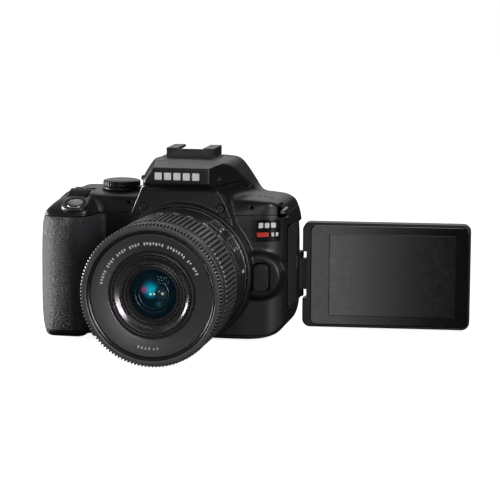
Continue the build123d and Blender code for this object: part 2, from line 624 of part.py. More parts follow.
def screws():
    """Mount, front panel and base screws."""
    group = []
    for angle in (45, 135, 225, 315):
        x, z = SCREW_CIRCLE * cos(radians(angle)), LENS_Z + SCREW_CIRCLE * sin(radians(angle))
        group.append(screw_y(x, z, FLANGE_Y, 1.75, 5.5))
    for x in PANEL_SCREWS:
        group.append(screw_y(x, PANEL_SCREW_Z, -22.8, 1.55, 5.0))
    for x, y in BASE_SCREWS:
        group.append(screw_z(x, y, 0.1, 1.6, 4.0))
    return Compound(group)


# ---- covers ------------------------------------------------------------------------------------------
def cut_for_controls(cover):
    """Opens the holes and pockets that the controls stand in."""
    for x, z, r in REAR_BUTTONS.values():
        cover -= disc_y(BACK_Y - 1.8, BACK_Y + 2, r + 0.15, x=x, z=z)
        cover -= disc_y(BACK_Y - 6.5, BACK_Y - 1.8, r + 1.1, x=x, z=z)
    cover -= disc_y(BACK_Y - 2.4, BACK_Y + 2, 9.7, x=KEYS_X, z=KEYS_Z)
    cover -= disc_y(BACK_Y - 3.6, BACK_Y + 2, 4.8, x=KEYS_X, z=KEYS_Z)
    for x, y, r in TOP_BUTTONS.values():
        cover -= disc_z(TOP_Z - 1.9, TOP_Z + 2, r + 0.15, x=x, y=y)
        cover -= disc_z(TOP_Z - 5.0, TOP_Z - 1.9, r + 0.9, x=x, y=y)
    cover -= disc_z(60, 80, 2.6, x=DIAL_X, y=DIAL_Y)
    for reach, r in ((0.5, WHEEL_R + 0.5), (3.0, 1.7)):
        half = WHEEL_W / 2 + reach
        cover -= disc_x(WHEEL_X - half, WHEEL_X + half, r, y=WHEEL_Y, z=WHEEL_Z)
    cover -= tilted(Pos(0, 0, 2.5) * Cylinder(4.45, 13) + Pos(0, 0, -5.6) * Cylinder(5.0, 4.0))
    cover -= block(34.55, 42.35, -30, -8, 25.35, 39.15, 2.8, Axis.Y)
    for pocket in LUG_POCKETS:
        cover -= block(*pocket)
    return cover


def covers():
    """Splits the outer form into its four hollow shells."""
    outside = body_form() + front_boss()
    inside = body_form(WALL)
    shell = outside - inside
    shell -= disc_y(-30, -5, 31.0) + disc_y(-30, -22.9, 32.7)
    shell -= block(-20.4, 20.4, -24, 24, 12, 56)
    shell += block(-30, 30, -22, 27, FLASH_SEAM - 2.4, FLASH_SEAM - 0.4) & body_form(0.4)
    pillar = block(-12.6, 12.6, -12, 26, FLASH_SEAM - 0.4, HUMP_Z)
    pillar &= disc_x(-13, 13, BONNET_R - 0.4, y=FLASH_Y, z=FLASH_Z) + block(-13, 13, FLASH_Y, 30, 70, 95)
    pillar -= block(-10.6, 10.6, -2.4, 24, FLASH_SEAM - 1, HUMP_Z - 2)
    for side in (-1, 1):
        pillar -= disc_x(side * 12 - 1, side * 12 + 1, PIVOT_R + 0.06, y=FLASH_Y, z=FLASH_Z)
    shell += pillar & body_form(0.02)
    shell -= flash_zone(0.4)
    pocket = block(-37.8, 47.4, 24.8, 50, -5, SCREEN_Z + SCREEN_H / 2 + 2.5)
    shell += pocket & body_form() & block(-80, 60, SPLIT_Y, 40, 0, 80)
    shell -= screen_recess() & block(-80, 60, 20, 60, -10, 80)
    for ear in hinge_ears():
        shell += ear
    shell -= block(-9.9, 9.9, 24, 40, 63.5, 74.7, 2.2, Axis.Y) + block(-17.4, 17.4, 30.8, 50, 58.4, 80.0)
    shell -= block(*FLAP_CUT)
    shell = cut_for_controls(shell)
    top = shell & block(-90, 70, -50, 50, SPLIT_TOP, 120)
    base = shell & block(-90, 70, -50, 50, -1, SPLIT_BASE)
    middle = shell & block(-90, 70, -50, 50, SPLIT_BASE, SPLIT_TOP)
    front = middle & block(-90, 70, -50, SPLIT_Y, -1, 100)
    rear = middle & block(-90, 70, SPLIT_Y, 50, -1, 100)
    return {"top_cover": top, "bottom_cover": base, "front_cover": front, "rear_cover": rear}


FLAP_CUT = (FLAP[0] - 3.4, FLAP[0] + 5, FLAP[1], FLAP[2], FLAP[3], FLAP[4])


def rubber_grips(form):
    """Textured skins: one wrapped round the grip, one on the thumb rest."""
    inner = body_form(1.0)
    skin = (form - inner) & block(-80, -41.5, -40, 20, 7, 60.0)
    thumb = block(-68.5, -40.5, BACK_Y - 1.0, BACK_Y + 1.8, 36.5, 51.5, 4.0, Axis.Y)
    thumb = chamfer(thumb.faces().sort_by(Axis.Y)[-1].edges(), 1.2)
    return skin, thumb


nodes = {}
form = body_form()
shells = covers()
skin, thumb = rubber_grips(form)
skin -= block(*LUG_POCKETS[0])
shells["front_cover"] -= skin
shells["rear_cover"] -= skin
shells["rear_cover"] -= thumb
nodes["rubber_grips"] = Compound([skin, thumb])

door_cut = block(DOOR[0] - GAP, DOOR[1] + 2.8, DOOR[2] - GAP, DOOR[3] + GAP, -1, 5)
shells["bottom_cover"] -= door_cut
shells["bottom_cover"] += disc_y(DOOR[2] - 1, DOOR[3] + 1, 0.5, x=DOOR[1] + DOOR_PIN, z=1.5)
shells["front_cover"] -= door_cut
shells["bottom_cover"] -= disc_z(-1, 5, 6.05)
for x, y in BASE_SCREWS:
    shells["bottom_cover"] -= disc_z(-1, 1.1, 1.65, x=x, y=y) + disc_z(-1, 5, 0.9, x=x, y=y)
for x in PANEL_SCREWS:
    shells["top_cover"] -= disc_y(-24, -21.8, 1.6, x=x, z=PANEL_SCREW_Z)
    shells["top_cover"] -= disc_y(-24, -15, 0.88, x=x, z=PANEL_SCREW_Z)
nodes.update(shells)

for name, solid in screen_unit().items():
    nodes[name] = opened(solid)
nodes["screen_hinge"] = opened(screen_hinge())
nodes["flash_head"] = flash_head(form)
for name, place in REAR_BUTTONS.items():
    nodes[name] = rear_button(*place)
for name, place in TOP_BUTTONS.items():
    nodes[name] = top_button(*place)
nodes["shutter_button"] = shutter_button()
nodes["mode_dial"] = mode_dial()
nodes["power_lever"] = power_lever()
nodes["main_dial"] = main_dial()
nodes["cross_keys"] = cross_keys()
nodes["set_button"] = set_button()
nodes["lens_release_button"] = block(34.8, 42.1, -21.0, -12.6, 25.6, 38.9, 2.6, Axis.Y)
nodes["lens_lock_pin"] = disc_y(-27.6, -18.0, 1.5, x=PIN_X)
nodes["mount_ring"] = mount_ring()
nodes["lens_mount_plate"] = lens_mount_plate()
nodes["lens_barrel"] = lens_barrel()
nodes["focus_mode_switch"] = lens_switch(52.0)
nodes["stabilizer_switch"] = lens_switch(33.0)
nodes["zoom_ring"] = zoom_ring()
nodes["front_barrel"] = front_barrel()
nodes["focus_ring"] = focus_ring()
nodes["name_ring"] = name_ring()
nodes["lens_elements"] = lens_elements()
nodes["aperture_unit"] = aperture_unit()
nodes["mirror_box"] = mirror_box()
nodes["reflex_mirror"] = reflex_mirror()
nodes["sub_mirror"] = sub_mirror()
nodes["shutter_frame"] = shutter_frame()
nodes["front_curtain"] = curtain(SHUTTER_Y + 0.6, 25.0)
nodes["rear_curtain"] = curtain(SHUTTER_Y + 1.8, 42.4)
nodes["image_sensor"] = image_sensor()
nodes["main_board"] = main_board()
nodes["chassis"] = chassis()
nodes["focusing_screen"] = focusing_screen()
nodes["pentamirror"] = pentamirror()
nodes["eyecup"] = eyecup()
nodes["eyepiece_lens"] = eyepiece_lens()
nodes["diopter_knob"] = edged(disc_y(30.9, 33.4, 3.0, x=-22.0, z=70.0), 0.3, Axis.Y)
nodes["hot_shoe"] = hot_shoe()
nodes["strap_lugs"] = strap_lugs()
nodes["terminal_cover"] = terminal_cover()
nodes["battery_door"] = battery_door()
nodes["door_latch"] = door_latch()
nodes["battery"] = battery()
nodes["memory_card"] = memory_card()
nodes["tripod_socket"] = tripod_socket()
nodes["screws"] = screws()

for name, solid in nodes.items():
    export_step(solid, f"parts/{name}.step")
print(len(nodes), "nodes")
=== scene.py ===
import functools
import json
import math

import bmesh
import bpy
import numpy as np
import openvdb
from mathutils import Matrix, Vector


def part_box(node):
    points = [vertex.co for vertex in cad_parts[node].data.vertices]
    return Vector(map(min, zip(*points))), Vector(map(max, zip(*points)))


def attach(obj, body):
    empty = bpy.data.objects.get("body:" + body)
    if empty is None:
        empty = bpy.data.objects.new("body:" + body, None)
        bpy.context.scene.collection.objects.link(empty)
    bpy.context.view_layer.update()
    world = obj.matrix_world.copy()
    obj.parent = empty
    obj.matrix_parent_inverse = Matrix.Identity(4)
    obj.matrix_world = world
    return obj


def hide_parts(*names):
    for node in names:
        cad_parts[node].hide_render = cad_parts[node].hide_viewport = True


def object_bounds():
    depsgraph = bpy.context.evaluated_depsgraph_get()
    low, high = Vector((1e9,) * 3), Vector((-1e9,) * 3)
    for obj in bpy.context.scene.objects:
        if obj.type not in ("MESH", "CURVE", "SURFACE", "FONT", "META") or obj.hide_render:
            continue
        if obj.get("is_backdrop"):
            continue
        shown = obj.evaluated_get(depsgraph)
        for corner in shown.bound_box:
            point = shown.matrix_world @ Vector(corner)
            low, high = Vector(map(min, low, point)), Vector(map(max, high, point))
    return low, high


# Looks of a compact digital SLR camera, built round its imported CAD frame.
# Sizes are in millimetres and become metres when a mesh is made. +X runs from the grip to the
# open screen, -Y is the way the lens points, +Z is up.

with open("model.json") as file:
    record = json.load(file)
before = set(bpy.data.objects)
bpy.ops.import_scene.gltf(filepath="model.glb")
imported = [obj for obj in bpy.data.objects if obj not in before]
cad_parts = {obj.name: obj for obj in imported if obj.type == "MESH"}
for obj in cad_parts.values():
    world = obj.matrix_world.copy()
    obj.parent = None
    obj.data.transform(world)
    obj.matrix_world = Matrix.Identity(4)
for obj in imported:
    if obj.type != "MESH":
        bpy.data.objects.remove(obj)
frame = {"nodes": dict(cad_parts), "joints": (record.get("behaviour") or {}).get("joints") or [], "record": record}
bpy.context.view_layer.update()
MM = 0.001


def box_of(node):
    """Lowest and highest corner of a CAD node, in millimetres."""
    low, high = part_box(node)
    return low / MM, high / MM


def joint_of(name):
    """The record's joint with that name."""
    return next(j for j in frame["joints"] if j["name"] == name)


def pivot_of(name):
    """Where a hinge turns, in millimetres."""
    return Vector(joint_of(name)["pos_m"]) / MM


# ---- places, from the frame ----
BACK_Y = 34.8
TOP_Z = 70.6
HUMP_Z = box_of("hot_shoe")[0].z
SPLIT_Z = box_of("top_cover")[0].z
BASE_Z = box_of("bottom_cover")[1].z
SPLIT_Y = box_of("rear_cover")[0].y
LENS_Z = (box_of("focus_ring")[0].z + box_of("focus_ring")[1].z) / 2
SWING = pivot_of("screen_swing")
OPEN_ANGLE = math.radians(joint_of("screen_swing")["range_deg"][0])
FLASH = pivot_of("flash_lift")
DOOR_LOW, DOOR_HIGH = box_of("battery_door")
DOOR_ZONE = (DOOR_LOW.x, DOOR_HIGH.x + 0.5, DOOR_LOW.y, DOOR_HIGH.y, -1.0, 5.0)
GRIP_ZONE = (-80.0, -40.2, -40.0, 20.0, 3.8, 60.4)
THUMB_ZONE = (-68.5, -40.5, 36.5, 51.5)                 # x and z of the thumb rest
STRAP_WELLS = ((-75, -68.6, 3.5, 15.5, 56.0, 64.5), (44.0, 53, -9.0, 2.5, 60.0, 66.4))
BARREL_R = 32.9
WALL = 2.0
SEAM = 0.12                                             # rounding of the covers' edges along a seam
FLASH_SEAM_Z, FLASH_ARM_X = 76.6, 13.0                  # underside and arms of the part that lifts
SCREEN_Z, SCREEN_HALF, SCREEN_LONG = 26.9, 26.5, 84.0   # middle height, half height and length of the screen
HINGE_GAP = 1.9                                         # from the hinge's axis to the screen's edge


# ---- meshes ----
def placed(name, data):
    """An object in the scene, made from a mesh, a light or a camera."""
    made = bpy.data.objects.new(name, data)
    bpy.context.scene.collection.objects.link(made)
    return made


def piece(name, points, faces, material, body, slot, replaces=(), sharp=35.0, normals=None):
    """A mesh in millimetres becomes a named piece that rides on a body of the frame."""
    mesh = bpy.data.meshes.new(name)
    mesh.from_pydata([tuple(p * MM for p in q) for q in points], [], faces)
    if normals is None:
        bm = bmesh.new()
        bm.from_mesh(mesh)
        bmesh.ops.remove_doubles(bm, verts=bm.verts, dist=1e-6)
        bmesh.ops.recalc_face_normals(bm, faces=bm.faces)
        bm.to_mesh(mesh)
        bm.free()
    mesh.polygons.foreach_set("use_smooth", [True] * len(mesh.polygons))
    if normals is None:
        mesh.set_sharp_from_angle(angle=math.radians(sharp))
    else:
        mesh.normals_split_custom_set_from_vertices(normals)
    mesh.materials.append(material)
    made = placed(name, mesh)
    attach(made, body)
    if replaces:
        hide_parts(*replaces)
    return made


def soften(made, width):
    """Rounds the edges of a CAD node with modifiers."""
    weld = made.modifiers.new("weld", "WELD")
    weld.merge_threshold = 2e-6
    flat = made.modifiers.new("flat", "DECIMATE")
    flat.decimate_type = "DISSOLVE"
    flat.angle_limit = math.radians(0.8)
    bevel = made.modifiers.new("bevel", "BEVEL")
    bevel.width = width * MM
    bevel.segments = 2
    bevel.limit_method = "ANGLE"
    bevel.angle_limit = math.radians(32)
    bevel.use_clamp_overlap = True
    weighted = made.modifiers.new("normals", "WEIGHTED_NORMAL")
    weighted.keep_sharp = False
    weighted.weight = 80
    made.data.polygons.foreach_set("use_smooth", [True] * len(made.data.polygons))


def moved(points, matrix):
    """Points turned and shifted by a matrix."""
    return [tuple(matrix @ Vector(p)) for p in points]


def about_y(rows, count=1, section=((0.0, 0.0),), closed=True):
    """Points and faces of a turned ring about the Y axis.

    A row is (y, radius, ribs): ribs scales the section's radial offsets. The section is a list of
    (share of the pitch, offset) and repeats count times round the ring."""
    turns = [(2 * math.pi * (i + share) / count, lift) for i in range(count) for share, lift in section]
    points = []
    for y, radius, ribs in rows:
        ring = [(radius + ribs * lift, t) for t, lift in turns]
        points += [(r * math.cos(t), y, r * math.sin(t)) for r, t in ring]
    n, faces = len(turns), []
    for i in range(len(rows) if closed else len(rows) - 1):
        a, b = i * n, (i + 1) % len(rows) * n
        faces += [(a + k, a + (k + 1) % n, b + (k + 1) % n, b + k) for k in range(n)]
    return points, faces


def plain(rows):
    """Rows of (y, radius) as rows with no ribs."""
    return [(y, r, 0.0) for y, r in rows]


def eased(corners, radius, steps=3):
    """A closed profile of (y, r) corners with each corner rounded by short chords."""
    out, n = [], len(corners)
    for i, here in enumerate(corners):
        here = Vector(here)
        back, ahead = Vector(corners[i - 1]) - here, Vector(corners[(i + 1) % n]) - here
        reach = min(radius, back.length * 0.45, ahead.length * 0.45)
        start, end = here + back.normalized() * reach, here + ahead.normalized() * reach
        for k in range(steps + 1):
            t = k / steps
            out.append(tuple((1 - t) ** 2 * start + 2 * t * (1 - t) * here + t * t * end))
    return out


def lens_ring(name, rows, material, body, slot, replaces=(), count=128, section=((0.0, 0.0),), closed=True,
              sharp=40):
    """A turned ring about the lens axis."""
    points, faces = about_y(rows, count, section, closed)
    points = moved(points, Matrix.Translation((0, 0, LENS_Z)))
    return piece(name, points, faces, material, body, slot, replaces, sharp)


# ---- forms, as distances on a grid of points ----
BAND = 2.5        # distances further off than this are all the same


def smax(a, b, soft):
    """Where two forms overlap, with the edge between them rounded."""
    if soft <= 0:
        return np.maximum(a, b)
    near = np.maximum(soft - np.abs(a - b), 0) / soft
    return np.maximum(a, b) + near * near * soft * 0.25


def smin(a, b, soft):
    """Two forms together, with the corner between them filled."""
    return -smax(-a, -b, soft)


def union(forms):
    """Several forms together, with the corners between them left sharp."""
    return functools.reduce(np.minimum, forms)


def minus(a, b, soft=0.3):
    """One form with another cut out of it."""
    return smax(a, -b, soft)


def outline(points, a, b, soft):
    """Distance to a convex outline drawn in two of the axes."""
    centre = np.mean(points, axis=0)
    field = None
    for (a0, b0), (a1, b1) in zip(points, points[1:] + points[:1]):
        length = math.hypot(a1 - a0, b1 - b0)
        na, nb = (b1 - b0) / length, (a0 - a1) / length
        if na * (centre[0] - a0) + nb * (centre[1] - b0) > 0:
            na, nb = -na, -nb
        side = (a - a0) * np.float32(na) + (b - b0) * np.float32(nb)
        field = side if field is None else smax(field, side, soft)
    return field


def slab(v, low, high):
    """Everything between two places along one axis."""
    return np.abs(v - (low + high) / 2) - (high - low) / 2


def block(s, x0, x1, y0, y1, z0, z1, soft=0.5):
    """A box between six limits."""
    return smax(smax(slab(s.x, x0, x1), slab(s.y, y0, y1), soft), slab(s.z, z0, z1), soft)


def rod(u, v, u0, v0, radius):
    """An endless cylinder, seen in the two axes across it."""
    return np.sqrt((u - u0) ** 2 + (v - v0) ** 2) - radius


def rod_y(s, x, z, radius, y0, y1, soft=0.4):
    return smax(rod(s.x, s.z, x, z, radius), slab(s.y, y0, y1), soft)


def rod_z(s, x, y, radius, z0, z1, soft=0.4):
    return smax(rod(s.x, s.y, x, y, radius), slab(s.z, z0, z1), soft)


def rod_x(s, y, z, radius, x0, x1, soft=0.4):
    return smax(rod(s.y, s.z, y, z, radius), slab(s.x, x0, x1), soft)


class Space:
    """Points on a regular grid between two corners."""

    def __init__(self, low, high, step):
        x, y, z = (np.arange(a, b + step, step, dtype=np.float32) for a, b in zip(low, high))
        self.x, self.y, self.z = x[:, None, None], y[None, :, None], z[None, None, :]
        self.low, self.step = np.array(low, np.float64), step
        self.size = np.array([len(x), len(y), len(z)])

    def read(self, field, places):
        """The field between its grid points, at places counted in steps."""
        whole = np.clip(np.floor(places).astype(int), 0, self.size - 2)
        part = np.clip(places - whole, 0, 1)
        total = 0
        for corner in np.ndindex(2, 2, 2):
            weight = np.prod(np.where(corner, part, 1 - part), axis=1)
            i, j, k = (whole + corner).T
            total = total + weight * field[i, j, k]
        return total

    def slope(self, field, places):
        """The direction in which the field grows, at places counted in steps."""
        sides = []
        for axis in range(3):
            step = np.zeros(3)
            step[axis] = 0.5
            sides.append(self.read(field, places + step) - self.read(field, places - step))
        slopes = np.stack(sides, axis=1)
        return slopes / np.maximum(np.linalg.norm(slopes, axis=1, keepdims=True), 1e-9)

    def surface(self, field):
        """Points, faces and normals of the skin where the field is nought."""
        field = np.clip(np.broadcast_to(field, self.size), -BAND, BAND).astype(np.float32)
        grid = openvdb.FloatGrid(BAND)
        grid.copyFromArray(field)
        places, quads = grid.convertToQuads(0.0)
        places = places.astype(np.float64)
        for _ in range(2):
            push = np.clip(self.read(field, places), -0.5, 0.5) / self.step
            places -= self.slope(field, places) * push[:, None]
        normals = self.slope(field, places)
        a, b, c = (places[quads[:, i]] for i in range(3))
        facing = np.einsum("ij,ij->i", np.cross(b - a, c - a), normals[quads[:, 0]])
        if np.median(facing) < 0:
            quads = quads[:, ::-1]
        return self.low + places * self.step, quads, normals


def skin(name, low, high, step, form, material, slot, replaces=(), body="camera_body"):
    """A moulded piece: the skin of a form, which is a function of the space it is sampled in."""
    space = Space(low, high, step)
    points, quads, normals = space.surface(form(space))
    return piece(name, points.tolist(), quads.tolist(), material, body, slot, replaces,
                 normals=normals.tolist())


# ---- materials ----
LOOKS = {}        # every material under its name, which is also the name of its slot


def new_material(name):
    """A material, its node tree and its shader."""
    material = bpy.data.materials.new(name)
    LOOKS[name] = material
    material.use_nodes = True
    tree = material.node_tree
    return material, tree, tree.nodes["Principled BSDF"]


def link(source, socket):
    """Joins a node's output to another node's input."""
    socket.id_data.links.new(source, socket)


def add(tree, kind, **settings):
    """A shader node with some of its properties and sockets set."""
    node = tree.nodes.new("ShaderNode" + kind)
    for key, value in settings.items():
        if hasattr(node, key):
            setattr(node, key, value)
        else:
            node.inputs[key.replace("_", " ")].default_value = value
    return node


def noise(tree, size, detail=3.0, distortion=0.0):
    """Noise whose features are about size millimetres across, in the object's own space."""
    where = add(tree, "TexCoord")
    texture = add(tree, "TexNoise", Scale=1.0 / (size * MM), Detail=detail, Roughness=0.55,
                  Distortion=distortion)
    link(where.outputs["Object"], texture.inputs["Vector"])
    return texture


def ramp(tree, source, low, high, to_low, to_high):
    """A value carried from one range to another."""
    node = add(tree, "MapRange", From_Min=low, From_Max=high, To_Min=to_low, To_Max=to_high)
    link(source, node.inputs["Value"])
    return node.outputs["Result"]


def blend_color(tree, factor, a, b):
    """Mixes two colours, or a linked colour and a colour, by a factor."""
    node = tree.nodes.new("ShaderNodeMix")
    node.data_type = "RGBA"
    link(factor, node.inputs["Factor"])
    for socket, value in ((node.inputs[6], a), (node.inputs[7], b)):
        if isinstance(value, bpy.types.NodeSocket):
            link(value, socket)
        else:
            socket.default_value = (*value, 1.0)
    return node.outputs[2]


def worked(tree, kind, operation, *values):
    """What a Math or VectorMath node makes of its inputs, each a linked output or a constant."""
    node = add(tree, kind, operation=operation)
    for socket, value in zip(node.inputs, values):
        if isinstance(value, bpy.types.NodeSocket):
            link(value, socket)
        else:
            socket.default_value = value
    one_number = kind == "Math" or operation in ("LENGTH", "DOT_PRODUCT")
    return node.outputs["Value" if one_number else "Vector"]


def roughen(tree, shader, height, strength, depth):
    """Bumps a shader's surface by a height, depth being how deep in metres."""
    bump = add(tree, "Bump", Strength=strength, Distance=depth)
    link(height, bump.inputs["Height"])
    link(bump.outputs["Normal"], shader.inputs["Normal"])


def tint(color, factor):
    """A colour made lighter or darker."""
    return tuple(c * factor for c in color)


def finish(name, color, rough, metallic=0.0, grain=0.25, depth=0.012, mottle=0.15, wear_and_highlight=0.0, specular=0.5,
           coat=0.0):
    """A moulded, painted or metal surface: blotchy colour, uneven gloss, fine grain, and sharp edges lightened,
    partly as rubbed wear and partly as a painted highlight.
    """
    material, tree, shader = new_material(name)
    blotches = noise(tree, 14.0)
    fine = noise(tree, grain, detail=2.0)
    smears = noise(tree, 3.0, detail=4.0, distortion=0.6)
    shade = ramp(tree, blotches.outputs["Fac"], 0.3, 0.7, 0.0, 1.0)
    base = blend_color(tree, shade, tint(color, 1 - mottle), tint(color, 1 + mottle))
    gloss = ramp(tree, smears.outputs["Fac"], 0.25, 0.75, rough - 0.05, rough + 0.06)
    if wear_and_highlight:
        # Sharp edges lightened: partly rubbed wear, partly a painted highlight along the edges.
        edges = add(tree, "NewGeometry")
        rubbed_and_highlit = ramp(tree, edges.outputs["Pointiness"], 0.53, 0.62, 0.0, wear_and_highlight)
        base = blend_color(tree, rubbed_and_highlit, base, tint(color, 3.2))
    link(base, shader.inputs["Base Color"])
    link(gloss, shader.inputs["Roughness"])
    roughen(tree, shader, fine.outputs["Fac"], 0.6, depth * MM)
    shader.inputs["Metallic"].default_value = metallic
    shader.inputs["Specular IOR Level"].default_value = specular
    if coat:
        shader.inputs["Coat Weight"].default_value = coat
        shader.inputs["Coat Roughness"].default_value = 0.08
    return material


def leather(name, color, rough, cell=1.1, depth=0.16):
    """Moulded grain: rounded cells with creases between them, the creases darkened as painted shade."""
    material, tree, shader = new_material(name)
    where = add(tree, "TexCoord")
    wander = noise(tree, 2.5, detail=2.0)
    shifted = worked(tree, "VectorMath", "MULTIPLY_ADD", wander.outputs["Color"], (0.0012,) * 3,
                     where.outputs["Object"])
    cells = add(tree, "TexVoronoi", feature="SMOOTH_F1", Scale=1.0 / (cell * MM), Smoothness=0.35)
    creases = add(tree, "TexVoronoi", feature="DISTANCE_TO_EDGE", Scale=1.0 / (cell * MM))
    for texture in (cells, creases):
        link(shifted, texture.inputs["Vector"])
    edge = ramp(tree, creases.outputs["Distance"], 0.0, 0.14, 0.0, 0.6)
    height = worked(tree, "Math", "MULTIPLY_ADD", cells.outputs["Distance"], -1.0, edge)
    fine = noise(tree, 0.3, detail=2.0)
    together = worked(tree, "Math", "MULTIPLY_ADD", fine.outputs["Fac"], 0.25, height)
    roughen(tree, shader, together, 0.85, depth * MM)
    blotches = noise(tree, 16.0)
    shade = ramp(tree, blotches.outputs["Fac"], 0.3, 0.7, 0.0, 1.0)
    base = blend_color(tree, shade, tint(color, 1.1), tint(color, 1.6))
    # Painted shade: the creases between the cells are darkened.
    crease_shade = ramp(tree, creases.outputs["Distance"], 0.0, 0.22, 0.9, 0.0)
    base = blend_color(tree, crease_shade, base, tint(color, 0.25))
    link(base, shader.inputs["Base Color"])
    gloss = ramp(tree, fine.outputs["Fac"], 0.3, 0.7, rough - 0.06, rough + 0.06)
    link(gloss, shader.inputs["Roughness"])
    return material


def spun(name, color, rough):
    """Turned metal with fine rings about the object's own Z axis."""
    material = finish(name, color, rough, metallic=1.0, grain=0.12, depth=0.004)
    tree = material.node_tree
    shader = tree.nodes["Principled BSDF"]
    rings = add(tree, "TexWave", wave_type="RINGS", rings_direction="Z", Scale=1400.0, Distortion=0.4)
    where = add(tree, "TexCoord")
    link(where.outputs["Object"], rings.inputs["Vector"])
    roughen(tree, shader, rings.outputs["Fac"], 0.5, 0.012 * MM)
    tangent = add(tree, "Tangent", direction_type="RADIAL", axis="Z")
    link(tangent.outputs["Tangent"], shader.inputs["Tangent"])
    shader.inputs["Anisotropic"].default_value = 0.85
    return material


def glass(name, color, reflected=None):
    """Clear glass with faint dust, or a coated surface that reflects one colour and is else see-through."""
    material, tree, shader = new_material(name)
    dust = noise(tree, 0.8, detail=5.0)
    link(ramp(tree, dust.outputs["Fac"], 0.55, 0.8, 0.02, 0.07), shader.inputs["Roughness"])
    shade = ramp(tree, noise(tree, 6.0).outputs["Fac"], 0.3, 0.7, 0.0, 1.0)
    link(blend_color(tree, shade, color, tint(color, 0.96)), shader.inputs["Base Color"])
    roughen(tree, shader, dust.outputs["Fac"], 0.02, 0.0005 * MM)
    shader.inputs["IOR"].default_value = 1.5
    if reflected:
        shader.inputs["Specular Tint"].default_value = (*reflected, 1.0)
        shader.inputs["Alpha"].default_value = 0.12
    else:
        shader.inputs["Transmission Weight"].default_value = 1.0
    return material


def painted_reflections(name):
    """Inner glass painted with reflections: a blue-green painted reflection, a violet one at its edge, small
    painted highlights and painted shade round them, all also given off as glow.
    """
    material, tree, shader = new_material(name)
    where = add(tree, "TexCoord")
    shade = None
    # painted reflections, highlights and shade: place, radius, share of the radius that fades, colour
    painted_spots = [((-1.5, 1.9), 4.6, 0.6, (0.004, 0.17, 0.26)), ((-1.2, 1.6), 2.9, 0.8, (0.01, 0.42, 0.55)),
             ((-4.6, 1.7), 1.9, 0.9, (0.30, 0.03, 0.16)), ((3.6, 0.3), 3.3, 0.2, (0.010, 0.020, 0.030)),
             ((-1.4, -0.2), 0.62, 0.5, (0.75, 0.95, 0.95)), ((0.4, -0.1), 0.50, 0.5, (0.85, 0.95, 0.9)),
             ((4.2, 0.2), 0.85, 0.7, (0.55, 0.52, 0.38)), ((2.6, 1.2), 0.5, 0.7, (0.10, 0.45, 0.40)),
             ((2.4, -4.8), 1.9, 0.9, (0.02, 0.06, 0.08))]
    swirl = noise(tree, 4.0, detail=2.0)
    for (x, z), radius, soft, color in painted_spots:
        at = (x * MM, 0.0, (z + LENS_Z) * MM)
        off = worked(tree, "VectorMath", "SUBTRACT", where.outputs["Object"], at)
        flat = worked(tree, "VectorMath", "MULTIPLY", off, (1.0, 0.0, 1.0))
        length = worked(tree, "VectorMath", "LENGTH", flat)
        mask = ramp(tree, length, radius * (1 - soft) * MM, radius * MM, 1.0, 0.0)
        shade = blend_color(tree, mask, shade if shade else (0.002, 0.010, 0.016), color)
    cloud = ramp(tree, swirl.outputs["Fac"], 0.35, 0.7, 0.0, 0.35)
    varied = blend_color(tree, cloud, shade, (0.002, 0.006, 0.010))
    link(varied, shader.inputs["Base Color"])
    link(varied, shader.inputs["Emission Color"])
    # The painted reflections and shade are also given off as glow, though the glass is no lamp.
    shader.inputs["Emission Strength"].default_value = 0.6
    shader.inputs["Specular IOR Level"].default_value = 0.0
    link(ramp(tree, swirl.outputs["Fac"], 0.3, 0.7, 0.5, 0.6), shader.inputs["Roughness"])
    return material


BODY = finish("body_plastic", (0.0085, 0.009, 0.0102), 0.38, depth=0.008, wear_and_highlight=0.25)
LENS = finish("lens_plastic", (0.014, 0.014, 0.0155), 0.30, depth=0.005, wear_and_highlight=0.2)
# Painted highlight: the rib lands are a much lighter grey than the rings' rubber, standing in for light on them;
# the switch frames reuse this grey.
LIT_RIB_GREY = finish("lens_rib_lands_painted_highlight", (0.095, 0.096, 0.100), 0.36, metallic=0.3, depth=0.005, wear_and_highlight=0.3)
# Painted shade: the rib grooves and the name ring's step bands are near black, standing in for shade in the
# recesses.
SHADED_GROOVES = finish("lens_rib_grooves_painted_shade", (0.004, 0.004, 0.005), 0.60, depth=0.005)
FACE = finish("lens_face", (0.13, 0.13, 0.135), 0.34, metallic=0.75, depth=0.003, mottle=0.06)
BAFFLE = finish("lens_baffle", (0.125, 0.115, 0.125), 0.27, metallic=0.8, depth=0.0006, mottle=0.05)
RUBBER = leather("grip_rubber", (0.040, 0.043, 0.048), 0.46, cell=0.75, depth=0.30)
SOFT = finish("soft_rubber", (0.016, 0.016, 0.018), 0.62, grain=0.4, depth=0.02)
finish("zoom_rubber", (0.020, 0.020, 0.022), 0.46, grain=0.3, depth=0.012, wear_and_highlight=0.4)
INNER = finish("inner_plastic", (0.008, 0.008, 0.009), 0.72, grain=0.3, depth=0.02)
finish("button_plastic", (0.016, 0.016, 0.018), 0.30, depth=0.005, wear_and_highlight=0.2)
DIAL = finish("dial_plastic", (0.020, 0.020, 0.022), 0.26, depth=0.005, wear_and_highlight=0.4)
BADGE = finish("badge_plastic", (0.006, 0.006, 0.007), 0.16, depth=0.002)
finish("bright_steel", (0.34, 0.34, 0.35), 0.30, metallic=1.0, depth=0.006)
finish("mount_chrome", (0.40, 0.40, 0.41), 0.30, metallic=1.0, depth=0.004)
finish("frame_metal", (0.42, 0.43, 0.44), 0.48, metallic=1.0, depth=0.02)
finish("dark_steel", (0.035, 0.035, 0.037), 0.32, metallic=0.6, depth=0.006, wear_and_highlight=0.4)
finish("blade_metal", (0.025, 0.025, 0.027), 0.45, metallic=0.4, depth=0.004)
SHOE = finish("shoe_metal", (0.040, 0.040, 0.043), 0.33, metallic=0.7, depth=0.006, wear_and_highlight=0.5)
